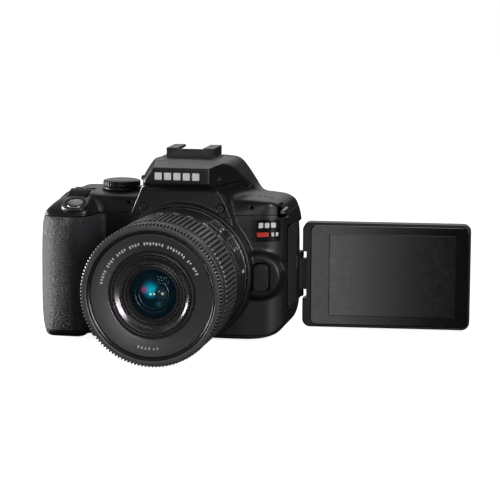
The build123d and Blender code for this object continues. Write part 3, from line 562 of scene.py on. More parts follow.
finish("hinge_metal", (0.030, 0.030, 0.032), 0.36, metallic=0.6, depth=0.006, wear_and_highlight=0.4)
finish("mirror_glass", (0.85, 0.86, 0.88), 0.05, metallic=1.0, depth=0.001, mottle=0.02)
finish("circuit_board", (0.015, 0.09, 0.045), 0.45, grain=0.8, depth=0.02, mottle=0.3)
finish("battery_plastic", (0.07, 0.07, 0.075), 0.45)
finish("card_plastic", (0.03, 0.04, 0.08), 0.35)
finish("sensor_glass", (0.10, 0.16, 0.20), 0.08, coat=1.0, depth=0.002)
glass("optical_glass", (0.96, 0.97, 0.98))
FRONT_GLASS = glass("lens_glass", (0.004, 0.008, 0.009), reflected=(0.45, 0.9, 1.0))
COVER_GLASS = finish("screen_glass", (0.006, 0.006, 0.007), 0.09, depth=0.001, mottle=0.05, specular=0.6)
PANEL = finish("display_panel", (0.012, 0.012, 0.013), 0.12, depth=0.001, mottle=0.05, specular=0.8)
PAINTED_REFLECTIONS = painted_reflections("lens_painted_reflections")
SATIN = finish("lens_skirt", (0.10, 0.10, 0.104), 0.30, metallic=0.6, depth=0.004)
SPUN = spun("shutter_metal", (0.22, 0.22, 0.23), 0.26)
PAINT = finish("white_paint", (0.72, 0.72, 0.72), 0.45, depth=0.01, mottle=0.04)
RED = finish("red_paint", (0.55, 0.03, 0.02), 0.40, depth=0.01, mottle=0.08)


# ---- the outer form of the body ----
DECK_FRONT = [(-69, 0), (37, 0), (46, 3.4), (50.4, 12), (50.4, 55.0), (49.2, 60.0), (44.6, 67.6), (28, TOP_Z),
              (-59.5, TOP_Z), (-69.4, 61.5), (-72.6, 46), (-72.6, 13)]
DECK_PLAN = [(-72.6, 27), (-67, BACK_Y), (50.4, BACK_Y), (50.4, -3), (44, -11), (31, -15),
             (-35, -15), (-48, -12), (-72.6, -4)]
DECK_SIDE = [(-15, 0), (-15, 60), (-11.5, 69), (-6, TOP_Z), (25, TOP_Z), (BACK_Y, 64), (BACK_Y, 0)]
GRIP_FRONT = [(-67.5, 0), (-48, 0), (-43.5, 9), (-41, 30), (-40.4, 52), (-43.5, 62.5), (-50, TOP_Z),
              (-59.5, TOP_Z), (-69.4, 61.5), (-73, 46), (-73, 13)]
GRIP_PLAN = [(-73, 4), (-73, -17), (-69.5, -26.5), (-62, -31.8), (-52.5, -31.8), (-45.5, -27),
             (-41.5, -17), (-40, -4), (-40, 4)]
GRIP_SIDE = [(-27, 0), (-31, 6), (-32, 30), (-31.6, 56), (-29.8, 61), (-24, 66.2), (-13, TOP_Z), (3, TOP_Z),
             (3, 0)]
HUMP_FRONT = [(-29, 58), (-27, 70), (-24, 78), (-20.2, 85.6), (-15.5, HUMP_Z), (15.5, HUMP_Z),
              (20.6, 86.4), (26, 77.3), (30, 70), (32, 58)]
HUMP_PLAN = [(-16.8, -31), (15, -31), (26.5, 8), (33, 31.2), (-30.5, 31.2), (-25, 2)]
HUMP_SIDE = [(-22.6, 58), (-22.6, 76), (-16, HUMP_Z), (20, HUMP_Z), (26, 84), (30.6, 74), (30.6, 58)]
BROW_SIDE = [(-22, 74.6), (-30.4, 78.0), (-30.4, 85.8), (-12, HUMP_Z), (0, HUMP_Z), (0, 74.6)]
BROW_LEFT = ((-17.1, -30.4, 79.0), (-0.819, -0.179, 0.546))
PANEL_FRONT = [(-33, 41), (-28, 56), (-18.2, 79.5), (13.6, 79.5), (21.1, 69.6), (25.9, 57.5), (30, 44)]
PANEL_Y = -22.7
COLLAR_R, COLLAR_Y = 34.4, -25.4
SHUTTER_AT = Vector((-53.0, -23.5, 66.1))
SHUTTER_TILT = math.radians(23)


def body_form(s):
    """The whole outside of the body."""
    deck = smax(outline(DECK_FRONT, s.x, s.z, 3), outline(DECK_PLAN, s.x, s.y, 4), 1.8)
    deck = smax(deck, outline(DECK_SIDE, s.y, s.z, 2.2), 1.5)
    grip = smax(outline(GRIP_FRONT, s.x, s.z, 4), outline(GRIP_PLAN, s.x, s.y, 5), 2.5)
    grip = smax(grip, outline(GRIP_SIDE, s.y, s.z, 3), 2)
    taper = outline(HUMP_PLAN, s.x, s.y, 1.5)
    (ax, ay, az), (nx, ny, nz) = BROW_LEFT
    slope = (s.x - ax) * nx + (s.y - ay) * ny + (s.z - az) * nz
    across = smax(smax(outline(HUMP_FRONT, s.x, s.z, 2.2), taper, 1.0), slope, 0.8)
    hump = smax(across, outline(HUMP_SIDE, s.y, s.z, 2.5), 1.2)
    brow = smax(across, outline(BROW_SIDE, s.y, s.z, 0.6), 0.8)
    panel = smax(outline(PANEL_FRONT, s.x, s.z, 1.2), slab(s.y, PANEL_Y, 0), 0.7)
    collar = rod_y(s, 0, LENS_Z, COLLAR_R, COLLAR_Y, 0, 1.2)
    boss = rod_y(s, 36.6, 32.5, 11.2, -17.6, 0, 2.5)
    form = deck
    for part, soft in ((grip, 4), (hump, 4.5), (panel, 0.6), (brow, 1.6), (boss, 2.5),
                       (smax(collar, -s.z, 0.5), 1.0), (seat_rim(s), 1.2)):
        form = smin(form, part, soft)
    return form


def tilted_axes(s):
    """Height over the shutter button's seat, and distance from its axis."""
    y, z = s.y - SHUTTER_AT.y, s.z - SHUTTER_AT.z
    across = y * math.cos(SHUTTER_TILT) + z * math.sin(SHUTTER_TILT)
    up = z * math.cos(SHUTTER_TILT) - y * math.sin(SHUTTER_TILT)
    return up, np.sqrt((s.x - SHUTTER_AT.x) ** 2 + across ** 2)


def seat_rim(s):
    """Low raised rim round the shutter button."""
    up, off = tilted_axes(s)
    return np.sqrt((off - 5.6) ** 2 + (up + 0.5) ** 2) - 0.9


REAR_BUTTONS = ["menu_button", "info_button", "live_view_button", "lock_button", "focus_point_button",
                "play_button"]
TOP_BUTTONS = ["iso_button", "disp_button"]
PANEL_SCREWS = ((-19.04, 65.7), (19.04, 65.7))        # x, z on the front panel
MICROPHONES = ((-28.7, 66.4), (32.3, 65.4))           # x, z on the front
SPEAKER_DOTS = (33.4, 36.4, 39.4)                     # x on the deck
EYEPIECE_HOLE = (-9.9, 9.9, 24, 40, 63.5, 74.7)
EYECUP_SEAT = (-17.4, 17.4, 30.8, 50, 58.4, 80.0)


def centre_of(node):
    """Middle of a CAD node's box, and half of its size."""
    low, high = box_of(node)
    return (low + high) / 2, (high - low) / 2


def pockets(s):
    """Holes and recesses that the controls, doors and strap bars stand in."""
    holes = []
    for name in REAR_BUTTONS:
        middle, half = centre_of(name)
        holes.append(rod_y(s, middle.x, middle.z, half.x - 0.8 + 0.25, BACK_Y - 7, BACK_Y + 5))
    for name in TOP_BUTTONS:
        middle, half = centre_of(name)
        holes.append(rod_z(s, middle.x, middle.y, half.x - 0.6 + 0.25, TOP_Z - 5, TOP_Z + 5))
    keys, half = centre_of("cross_keys")
    holes.append(rod_y(s, keys.x, keys.z, half.x + 0.3, BACK_Y - 2.4, BACK_Y + 5))
    holes.append(rod_y(s, keys.x, keys.z, 4.8, BACK_Y - 3.6, BACK_Y + 5))
    wheel, half = centre_of("main_dial")
    holes.append(rod_x(s, wheel.y, wheel.z, half.y + 0.5, wheel.x - 5.0, wheel.x + 5.0))
    dial = centre_of("mode_dial")[0]
    holes.append(rod_z(s, dial.x, dial.y, 2.6, 60, 80))
    up, off = tilted_axes(s)
    holes += [smax(off - 4.45, slab(up, -4, 9), 0.3), smax(off - 5.0, slab(up, -7.6, -3.6), 0.3)]
    holes += [rod_y(s, x, z, 1.9, -30, PANEL_Y + 0.8, 0.1) for x, z in PANEL_SCREWS]
    holes += [rod_y(s, x, z, 0.75, -30, -10, 0.1) for x, z in MICROPHONES]
    holes += [rod_z(s, x, 3.0, 0.75, 67.5, 80, 0.1) for x in SPEAKER_DOTS]
    low, high = box_of("lens_release_button")
    holes.append(block(s, low.x - 0.25, high.x + 0.25, -30, -8, low.z - 0.25, high.z + 0.25, 2.6))
    holes += [block(s, *well, 1.6) for well in STRAP_WELLS]
    holes.append(rod(s.x, s.z, 0, LENS_Z, 31.0) + 0 * s.y + np.where(s.y > -5, 99, 0))
    holes.append(rod_y(s, 0, LENS_Z, 32.7, -30, -22.9, 0.3))
    holes += [block(s, *EYEPIECE_HOLE, 2.2), block(s, *EYECUP_SEAT, 3.0)]
    low, high = box_of("terminal_cover")
    holes.append(block(s, high.x - 3.75, 60, low.y - 0.12, high.y + 0.2, low.z - 0.12, high.z + 0.12, 1.6))
    return union(holes)


def flash_zone(s, gap=0.0):
    """The part of the hump that lifts."""
    seam = FLASH_SEAM_Z - gap
    arc = rod(s.y, s.z, FLASH.y, FLASH.z, 18.2 - gap)
    bonnet = smax(smax(s.y + 5, seam - s.z, 0.2), -arc, 0.2)
    wide = np.abs(s.x)
    arm = smax(smax(FLASH_ARM_X - gap - wide, seam - s.z, 0.2), slab(s.y, -12, FLASH.y), 0.1)
    knuckle = smax(rod(s.y, s.z, FLASH.y, FLASH.z, 7.9 + gap), FLASH_ARM_X - gap - wide, 0.2)
    return union([bonnet, arm, knuckle])


def screen_recess(s):
    """Room for the stowed screen, its swing and its hinge."""
    z1 = SCREEN_Z + SCREEN_HALF + 0.5
    room = block(s, SWING.x - HINGE_GAP - SCREEN_LONG - 0.6, SWING.x - 1.6, 26.0, 50, -5, z1, 1.5)
    barrel = rod_z(s, SWING.x, SWING.y, 5.4, -5, z1)
    return union([room, barrel, block(s, SWING.x, 60, SWING.y - 4, 50, -5, z1)])


def ears(s):
    """Two lugs that hold the hinge barrel."""
    lugs = []
    for side in (-1, 1):
        z0, z1 = sorted((SCREEN_Z + side * 8.15, SCREEN_Z + side * 11.6))
        lugs += [rod_z(s, SWING.x, SWING.y, 2.3, z0, z1), block(s, 46.5, 50.4, 22, SWING.y, z0, z1)]
    return minus(union(lugs), rod_z(s, SWING.x, SWING.y, 1.1, 0, 60, 0.1), 0.1)


def shell(s):
    """The hollow covers together, with everything cut out that isn't theirs."""
    form = body_form(s)
    hollow = smax(form, -(form + WALL), 0.3)
    floor_z, pillar_x = FLASH_SEAM_Z - 0.4, 12.6
    floor = block(s, -30, 30, -22, 27, floor_z - WALL, floor_z)
    hollow = np.minimum(hollow, smax(floor, form + 0.4, 0.2))
    pillar = block(s, -pillar_x, pillar_x, -12, 26, floor_z, HUMP_Z, 0.3)
    pillar = smax(pillar, np.minimum(rod(s.y, s.z, FLASH.y, FLASH.z, 17.8), FLASH.y - s.y), 0.2)
    inside_x = pillar_x - WALL
    pillar = minus(pillar, block(s, -inside_x, inside_x, -2.4, 24, floor_z - 0.6, HUMP_Z - WALL))
    hollow = np.minimum(hollow, smax(pillar, form, 0.1))
    hollow = minus(hollow, flash_zone(s, 0.4), 0.4)
    tray = smax(block(s, -37.8, 47.4, 24.8, 50, -5, 55.9), form, 0.2)
    hollow = np.minimum(hollow, smax(tray, SPLIT_Y - s.y, 0.1))
    hollow = minus(hollow, screen_recess(s), 0.6)
    hollow = np.minimum(hollow, ears(s))
    hollow = minus(hollow, pockets(s), 0.4)
    grip = smax(-(form + 1.05), block(s, *grown(GRIP_ZONE, 0.12), 0.6), 0.2)
    hollow = minus(hollow, grip, 0.5)
    x0, x1, z0, z1 = grown(THUMB_ZONE, 0.1)
    thumb = block(s, x0, x1, BACK_Y - 1.0, BACK_Y + 5, z0, z1, 4.0)
    return minus(hollow, thumb, 0.4)


def grown(zone, by):
    """A block's six limits moved outwards."""
    return [v - by if i % 2 == 0 else v + by for i, v in enumerate(zone)]


def top_form(s):
    """Top cover: everything over the seam."""
    return smax(shell(s), SPLIT_Z - 0.08 - s.z, SEAM)


def front_form(s):
    """Front cover: what lies ahead of the rear seam, less the battery door's corner."""
    door = block(s, *grown(DOOR_ZONE, 0.3), 0.5)
    return minus(smax(middle_form(s), s.y - SPLIT_Y + 0.05, SEAM), door)


def rear_form(s):
    """Rear cover: what lies behind the rear seam."""
    return smax(middle_form(s), SPLIT_Y + 0.05 - s.y, SEAM)


def middle_form(s):
    """The shell between the base and the top cover."""
    return smax(shell(s), slab(s.z, BASE_Z + 0.05, SPLIT_Z + 0.08), SEAM)


def base_form(s):
    """Base, with openings for the battery door and the tripod socket."""
    base = smax(shell(s), s.z - BASE_Z + 0.05, SEAM)
    base = minus(base, block(s, *grown(DOOR_ZONE, 0.3), 0.5))
    return minus(base, rod_z(s, 0, 0, 6.1, -1, 5, 0.2))


def flash_form(s):
    """The flash's bonnet, arms and knuckles, with the finger ridge along its front edge."""
    form = body_form(s)
    head = smax(form, flash_zone(s), 0.3)
    head = smin(head, rod_x(s, -20.5, 79.6, 1.2, -20.5, 19.2, 0.4), 0.2)
    return minus(head, block(s, -15.4, 14.4, -24, -11, 70, 84.0, 1.0))


def door_form(s):
    """Battery door with its latch well and its hinge barrel."""
    x0, x1, y0, y1 = DOOR_ZONE[:4]
    leaf = smax(body_form(s), block(s, x0, x1 - 2.5, y0, y1, -1, 1.8, 0.6), 0.3)
    leaf = minus(leaf, block(s, x0 + 1.2, x0 + 6.2, -14, -7, -1, 1.1, 0.3), 0.2)
    pin = rod_y(s, x1 - 1.6, 1.5, 1.1, y0 + 3, y1 - 3, 0.2)
    return minus(np.minimum(leaf, pin), rod_y(s, x1 - 1.6, 1.5, 0.55, y0, y1, 0.1), 0.1)


def flap_form(s):
    """Terminal cover with its finger lip."""
    low, high = box_of("terminal_cover")
    leaf = smax(body_form(s), block(s, 48.6, 52, low.y, high.y, low.z, high.z, 1.6), 0.4)
    lip = block(s, 49, high.x, high.y - 1.9, high.y - 0.3, 32.0, 38.0, 0.4)
    groove = slab(s.z, 35.9, 36.3) + 0 * s.x + 0 * s.y
    return minus(np.minimum(leaf, lip), smax(groove, 50.15 - s.x + 0 * s.y, 0.1), 0.2)


def grip_form(s):
    """Rubber of the grip and of the thumb rest."""
    form = body_form(s)
    grip = smax(smax(form, -(form + 1.0), 0.2), block(s, *GRIP_ZONE, 0.6), 0.7)
    x0, x1, *rest = STRAP_WELLS[0]
    grip = minus(grip, block(s, x0, x1, *grown(rest, 0.1), 1.6))
    x0, x1, z0, z1 = THUMB_ZONE
    thumb = smax(block(s, x0, x1, BACK_Y - 1.0, BACK_Y + 1.8, z0, z1, 3.5), -(form + 1.0), 0.1)
    return np.minimum(grip, thumb)


COVERS = (
    ("top_cover", "camera_body", top_form, (-76, -34, 60), (54, 37, 90)),
    ("front_cover", "camera_body", front_form, (-76, -34, 1), (54, 10, 63)),
    ("rear_cover", "camera_body", rear_form, (-76, 6, 1), (54, 37, 63)),
    ("bottom_cover", "camera_body", base_form, (-76, -34, -2), (54, 37, 4)),
    ("flash_head", "flash_head", flash_form, (-30, -33, 74), (32, 20, 90)),
)


def body_skins():
    """Skins of the covers, the rubber and the two small doors."""
    step, fine = 0.4, 0.3
    for node, body, form, low, high in COVERS:
        skin(node + "_skin", low, high, step, form, BODY, "body_plastic", [node], body)
    skin("grip_skin", (-76, -34, 2), (-37, 38, 62), step, grip_form, RUBBER, "grip_rubber", ["rubber_grips"])
    skin("battery_door_skin", (-68, -26, -2), (-42, 5, 4), fine, door_form, BODY, "body_plastic",
         ["battery_door"], "battery_door")
    skin("terminal_cover_skin", (46, -6, 13), (53, 18, 58), fine, flap_form, SOFT, "soft_rubber",
         ["terminal_cover"], "terminal_cover")


def on_surface(name, low, high, lift, zones, material, body="camera_body"):
    """Thin tiles that lie on the body's surface: each zone is a block's six limits."""
    def form(s):
        outside = body_form(s)
        layer = smax(outside - lift, -(outside + 0.3), 0.05)
        return union([smax(layer, block(s, *zone, 0.5), 0.1) for zone in zones])
    return skin(name, low, high, 0.15, form, material, "body_plastic", (), body)


BADGE_LOW, BADGE_HIGH = (32, -20, 47), (47, -8, 61)


def details():
    """Badge plate and plain marks that stand where a maker's lettering would be."""
    def on_badge(name, lift, tiles, material):
        zones = [(x0, x1, BADGE_LOW[1], BADGE_HIGH[1], z0, z1) for x0, x1, z0, z1 in tiles]
        on_surface(name, BADGE_LOW, BADGE_HIGH, lift, zones, material)

    marks = [(x, x + 2.2, 55.6, 58.2) for x in (36.0, 38.9, 41.8)]
    marks += [(x, x + 1.2, 51.4, 53.4) for x in (42.0, 43.9)]
    on_badge("badge_plate", 0.5, [(33.2, 46, 48.9, 59.7)], BADGE)
    on_badge("badge_marks", 0.6, marks, PAINT)
    on_badge("badge_stripe", 0.6, [(35.2, 40.8, 51.2, 53.5)], RED)
    squares = [(x, x + 3.5, -34, -28, 79.9, 83.5) for x in (-11.6, -7.0, -2.4, 2.2, 6.8)]
    on_surface("brow_marks", (-14, -32, 78), (13, -28, 86), 0.1, squares, PAINT, "flash_head")


# ---- lens ----
def rib(share, depth):
    """Section of one rib: a land, and a groove of that share of the pitch and that depth."""
    half, slope = share / 2, 0.06
    return [(half + slope, 0.0), (0.5, 0.06), (1 - half - slope, 0.0), (1 - half + slope, -depth),
            (1.0, -depth - 0.04), (1 + half - slope, -depth)]


def shade_groove_faces(made, low, high, radius):
    """Gives the faces between two distances along the axis, and inside a radius, the second material: the dark
    groove colour, painted shade.
    """
    made.data.materials.append(SHADED_GROOVES)
    for face in made.data.polygons:
        centre = face.center / MM
        if low < centre.y < high and math.hypot(centre.x, centre.z - LENS_Z) < radius:
            face.material_index = 1


def lens():
    """The turned rings of the lens, front to back."""
    low, high = box_of("focus_ring")
    front, back, rim = low.y, high.y, (high.x - low.x) / 2
    rows = plain([(front + 0.3, 30.25), (front + 0.05, 30.5), (front, 30.9), (front, 31.9)])
    rows += [(front + 0.12, rim - 0.7, 0.35), (front + 0.45, rim - 0.15, 0.9), (front + 0.75, rim, 1.0),
             (back - 1.3, rim, 1.0), (back - 1.05, rim - 0.15, 0.7)]
    rows += plain([(back - 0.95, rim - 0.75), (back - 0.25, rim - 0.6), (back, rim - 0.85), (back, 30.5),
                   (back - 0.2, 30.25)])
    ring = lens_ring("focus_ring_body", rows, LIT_RIB_GREY, "focus_ring", "lens_plastic", ["focus_ring"], 124,
                     rib(0.50, 0.75))
    shade_groove_faces(ring, front + 0.3, back - 1.0, rim - 0.25)

    low, high = box_of("zoom_ring")
    front, back, rim = low.y, high.y, (high.x - low.x) / 2
    rows = plain([(front, 29.7), (front, rim - 0.9), (front + 0.2, rim - 0.6), (front + 1.0, rim - 0.55)])
    rows += [(front + 1.15, rim - 0.3, 0.3), (front + 1.5, rim, 1.0), (back - 1.4, rim, 1.0),
             (back - 1.1, rim - 0.3, 0.3)]
    rows += plain([(back - 0.95, rim - 0.5), (back - 0.2, rim - 0.4), (back, rim - 0.7), (back, 29.7)])
    ring = lens_ring("zoom_grip", rows, LIT_RIB_GREY, "zoom_ring", "zoom_rubber", ["zoom_ring"], 90, rib(0.36, 0.75))
    shade_groove_faces(ring, front + 1.3, back - 1.2, rim - 0.2)

    low, high = box_of("front_barrel")
    front, rim = low.y, (high.x - low.x) / 2
    skirt = eased([(-81.4, 29.8), (-81.4, rim), (-75.7, rim), (-75.7, 28.5), (-40.0, 28.5), (-40.0, 27.3),
                   (-76.5, 27.3), (-78.0, 28.6)], 0.5)
    lens_ring("barrel_skirt", plain(skirt), SATIN, "front_group", "lens_plastic", ["front_barrel"], 192)
    threads = [(front + 0.1 + 0.2 * i, 29.05 if i % 2 else 29.3) for i in range(9)]
    nose = eased([(front, 29.5), (front, 30.0), (-81.2, 30.0), (-81.2, 28.9), (front + 2.4, 28.9)], 0.2)
    lens_ring("filter_thread", plain(nose + threads[::-1]), LENS, "front_group", "lens_plastic", (), 192)
    name_ring()
    name_marks()

    rim = BARREL_R
    tube = eased([(-75.0, 28.7), (-75.0, 29.4), (-50.3, 29.4), (-50.3, rim), (-46.3, rim), (-46.2, rim - 0.7),
                  (-45.6, rim - 0.7), (-45.5, rim), (-30.2, rim), (-28.9, rim - 0.5), (-28.3, rim - 1.2),
                  (-28.3, 20.0), (-30.3, 20.0), (-30.3, 28.7)], 0.35)
    lens_ring("rear_barrel", plain(tube), LENS, "camera_body", "lens_plastic", ["lens_barrel"], 192)
    barrel_marks()
    elements()


def name_ring():
    """The stepped ring round the front element, with dark bands of painted shade in its steps."""
    steps = [(-86.6, 28.75), (-86.8, 28.4), (-85.5, 20.9), (-85.4, 20.5), (-85.0, 20.35), (-84.9, 19.5),
             (-85.6, 19.3), (-85.6, 18.9), (-84.7, 18.7), (-84.6, 18.0), (-85.3, 17.8), (-85.2, 17.4),
             (-83.7, 15.7), (-83.6, 15.1), (-84.4, 14.9), (-84.4, 14.5), (-83.4, 14.3), (-83.4, 13.7),
             (-84.1, 13.5), (-84.1, 13.1), (-83.1, 12.9), (-83.0, 12.2), (-83.7, 12.0), (-83.6, 11.5),
             (-82.4, 11.2), (-82.0, 12.0), (-82.0, 28.4), (-82.3, 28.75)]
    # Radii of the step bands that get the near-black groove colour, painted shade.
    dark = ((11.3, 11.9), (12.3, 12.9), (13.8, 14.3), (18.1, 18.6), (19.6, 20.3))
    ring = lens_ring("name_ring_body", plain(eased(steps, 0.12, 2)), FACE, "front_group", "lens_plastic",
                     ["name_ring"], 192)
    ring.data.materials.append(BAFFLE)
    ring.data.materials.append(SHADED_GROOVES)
    for face in ring.data.polygons:
        centre = face.center / MM
        away = math.hypot(centre.x, centre.z - LENS_Z)
        if away < 20.7 and centre.y < -82.2:
            face.material_index = 2 if any(low < away < high for low, high in dark) else 1


def bar(angle, radius, length, width, y):
    """A thin painted bar on a face that looks along -Y, at an angle and radius about the lens axis."""
    ends = []
    for side, along in ((-1, -1), (1, -1), (1, 1), (-1, 1)):
        r, side = radius + along * length / 2, side * width / 2
        ends.append((r * math.cos(angle) - side * math.sin(angle),
                     r * math.sin(angle) + side * math.cos(angle) + LENS_Z))
    return lofted([[(x, y + depth, z) for x, z in ends] for depth in (-0.06, 0.1)])


def gathered(parts):
    """Several meshes as one."""
    points, faces = [], []
    for some, around in parts:
        base = len(points)
        points += some
        faces += [tuple(i + base for i in face) for face in around]
    return points, faces


def name_marks():
    """Groups of plain bars round the front ring, where a maker's lettering would be."""
    def mark(degrees, radius, length, width):
        face_y = -86.8 + (28.4 - radius) * 1.3 / 7.5
        parts.append(bar(math.radians(degrees), radius, length, width, face_y))

    parts, angle = [], 168.0
    for count in (5, 4, 4, 4, 7, 7, 2, 3):
        for i in range(count):
            mark(angle, 24.3, 2.0 if i % 2 == 0 else 1.3, 0.7)
            angle -= 3.4
        angle -= 3.2
    for angle, length in ((-92, 1.7), (-96, 1.2), (-100, 1.7), (-104, 1.7), (-83, 1.7), (-87, 1.2)):
        mark(angle, 25.0, length, 0.6)
    piece("front_ring_marks", *gathered(parts), PAINT, "front_group", "lens_plastic", sharp=20)


def barrel_patch(degrees, y0, y1, width, radius, lift):
    """A raised curved tile on a turned surface about the lens axis, at an angle from +X."""
    n, faces = 7, []
    half = width / radius / 2
    turns = [math.radians(degrees) + t for t in np.linspace(-half, half, n)]
    points = [(r * math.cos(t), y, r * math.sin(t) + LENS_Z)
              for y in (y0, y1) for r in (radius - 0.3, radius + lift) for t in turns]
    for k in range(n - 1):
        faces += [(n + k, n + k + 1, 3 * n + k + 1, 3 * n + k), (k + 1, k, 2 * n + k, 2 * n + k + 1),
                  (k, k + 1, n + k + 1, n + k), (2 * n + k + 1, 2 * n + k, 3 * n + k, 3 * n + k + 1)]
    faces += [(0, n, 3 * n, 2 * n), (n - 1, 3 * n - 1, 4 * n - 1, 2 * n - 1)]
    return points, faces


def barrel_marks():
    """Plain ticks for the zoom positions, an index mark, and frames round the two switches."""
    rim = BARREL_R
    parts = [barrel_patch(a, -49.4, -47.3, 0.7, rim, 0.05) for a in (100, 86, 74, 60, 44)]
    for angle in (98, 84, 72, 58, 42):
        parts += [barrel_patch(a, -49.2, -47.6, 0.45, rim, 0.05) for a in (angle, angle - 1.6)]
    parts.append(barrel_patch(7.2, -36.4, -32.6, 1.5, rim, 0.08))
    parts += [barrel_patch(a, y, y + 0.5, 1.7, rim + 0.8, 0.05) for a in (46.5, 27.5) for y in (-42.4, -36.2)]
    piece("barrel_marks", *gathered(parts), PAINT, "camera_body", "lens_plastic", sharp=20)
    # The switch frames reuse the lighter grey that stands in for light on the rib lands.
    for name, angle in (("focus_switch_plate", 52.0), ("stabilizer_switch_plate", 33.0)):
        sides = [barrel_patch(angle + off, -44.4, -32.2, 0.7, rim + 0.65, 0.25) for off in (-4.6, 4.6)]
        sides += [barrel_patch(angle, y, y + 0.5, 5.4, rim + 0.65, 0.25) for y in (-44.4, -32.7)]
        piece(name, *gathered(sides), LIT_RIB_GREY, "camera_body", "lens_plastic", sharp=20)


def dome(name, y, radius, bulge, material, thick=0.8, replaces=()):
    """A bulging disc that faces -Y."""
    ball = (radius ** 2 + bulge ** 2) / (2 * bulge)
    front = []
    for i in range(17):
        r = radius * math.sin(math.pi / 2 * i / 16)
        front.append((y - (math.sqrt(ball ** 2 - r ** 2) - (ball - bulge)), r))
    rows = front + [(y + thick, radius), (y + thick, radius * 0.5), (y + thick, 0.0)]
    return lens_ring(name, plain(rows), material, "front_group", "lens_glass", replaces, 96, closed=False,
                     sharp=50)


def elements():
    """Front element and the surfaces seen through it, one of them with painted reflections."""
    dome("front_element", -81.4, 11.3, 1.9, FRONT_GLASS, 2.6, ["lens_elements"])
    dome("second_element", -79.0, 11.4, 2.4, PAINTED_REFLECTIONS)
    cell = eased([(-81.9, 11.2), (-81.9, 14.6), (-41.0, 14.6), (-41.0, 12.7), (-77.4, 12.0)], 0.1)
    lens_ring("element_cell", plain(cell), INNER, "front_group", "inner_plastic", ["aperture_unit"], 96)
    for i, (y, radius) in enumerate(((-80.6, 8.6), (-81.0, 6.8))):
        ring = [(y, radius), (y - 0.12, radius + 0.18), (y, radius + 0.36), (y + 0.2, radius + 0.18)]
        ring = plain(eased(ring, 0.05, 2))
        lens_ring(f"inner_ring_{i + 1}", ring, BAFFLE, "front_group", "lens_glass", (), 96)


# ---- screen ----
def stowed_to_open():
    """Turns a piece of the screen from stowed to where it stands open."""
    axis = Vector(joint_of("screen_swing")["axis"])
    turn = Matrix.Rotation(-OPEN_ANGLE, 4, axis)
    return Matrix.Translation(SWING) @ turn @ Matrix.Translation(-SWING)


def rounded_rect(x0, x1, z0, z1, radius):
    """Points round a rectangle with rounded corners, seven to a corner."""
    middles = [(x1 - radius, z1 - radius), (x0 + radius, z1 - radius), (x0 + radius, z0 + radius),
               (x1 - radius, z0 + radius)]
    turns = [(cx, cz, math.radians(90 * (i + k / 6))) for i, (cx, cz) in enumerate(middles) for k in range(7)]
    return [(cx + radius * math.cos(t), cz + radius * math.sin(t)) for cx, cz, t in turns]


def lofted(loops):
    """Closed skin through loops of the same length, capped at both ends."""
    n = len(loops[0])
    points = [p for loop in loops for p in loop]
    last = len(points) - n
    faces = [tuple(range(n - 1, -1, -1)), tuple(range(last, len(points)))]
    for a in range(0, last, n):
        faces += [(a + k, a + (k + 1) % n, a + n + (k + 1) % n, a + n + k) for k in range(n)]
    return points, faces


def plate(x0, x1, z0, z1, radius, levels):
    """A rounded plate: each level is (y, inset)."""
    loops = []
    for y, inset in levels:
        rim = rounded_rect(x0 + inset, x1 - inset, z0 + inset, z1 - inset, max(radius - inset, 0.2))
        loops.append([(x, y, z) for x, z in rim])
    return lofted(loops)


def screen():
    """Glass and display of the vari-angle screen."""
    turn = stowed_to_open()
    x1 = SWING.x - HINGE_GAP
    x0, z0, z1 = x1 - SCREEN_LONG, SCREEN_Z - SCREEN_HALF, SCREEN_Z + SCREEN_HALF
    face = SWING.y + 4.6
    gx0, gx1 = x0 + 1.0, x1 - 4.0
    edge = [(1.0, 0), (0.22, 0), (0.12, 0.04), (0.08, 0.14), (0.08, 0.6)]
    levels = [(face - back, inset) for back, inset in edge]
    points, faces = plate(gx0, gx1, z0 + 1.2, z1 - 1.2, 3.0, levels)
    piece("screen_window", moved(points, turn), faces, COVER_GLASS, "screen", "screen_glass", ["screen_glass"])
    levels = [(face - back, inset) for back, inset in ((0.3, 0), (0.075, 0), (0.065, 0.05), (0.065, 0.5))]
    points, faces = plate(gx0 + 6.3, gx1 - 9.3, z0 + 5.9, z1 - 5.6, 0.25, levels)
    piece("display_area", moved(points, turn), faces, PANEL, "screen", "display_panel", ["lcd_panel"])


# ---- controls ----
def shoe_stop():
    """The raised lip that closes the front of the accessory shoe between its rails."""
    low, high = box_of("hot_shoe")
    rail_inner = 6.35
    y0, y1, z0, z1 = low.y + 0.05, low.y + 1.1, high.z - 1.4, high.z - 0.35
    section = eased([(y0, z0), (y0, z1), (y1, z1), (y1, z0)], 0.18)
    points, faces = lofted([[(x, y, z) for y, z in section] for x in (-rail_inner, rail_inner)])
    piece("shoe_stop_lip", points, faces, SHOE, "camera_body", "shoe_metal")


def shutter_release():
    """The dished cap of the shutter button, turned about its own Z axis."""
    rows = [(0.95, 0.0), (0.94, 1.2), (0.86, 2.4), (0.70, 3.3), (0.50, 3.8), (0.25, 4.1), (-0.1, 4.2),
            (-2.8, 4.2), (-3.0, 4.7), (-4.6, 4.7), (-4.6, 0.0)]
    points, faces = about_y(plain(rows), 96, closed=False)
    upright = Matrix.Rotation(math.radians(90), 4, "X")
    made = piece("shutter_cap", moved(points, upright), faces, SPUN, "shutter_button", "shutter_metal",
                 ["shutter_button"])
    made.matrix_world = Matrix.Translation(SHUTTER_AT * MM) @ Matrix.Rotation(SHUTTER_TILT, 4, "X")
    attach(made, "shutter_button")


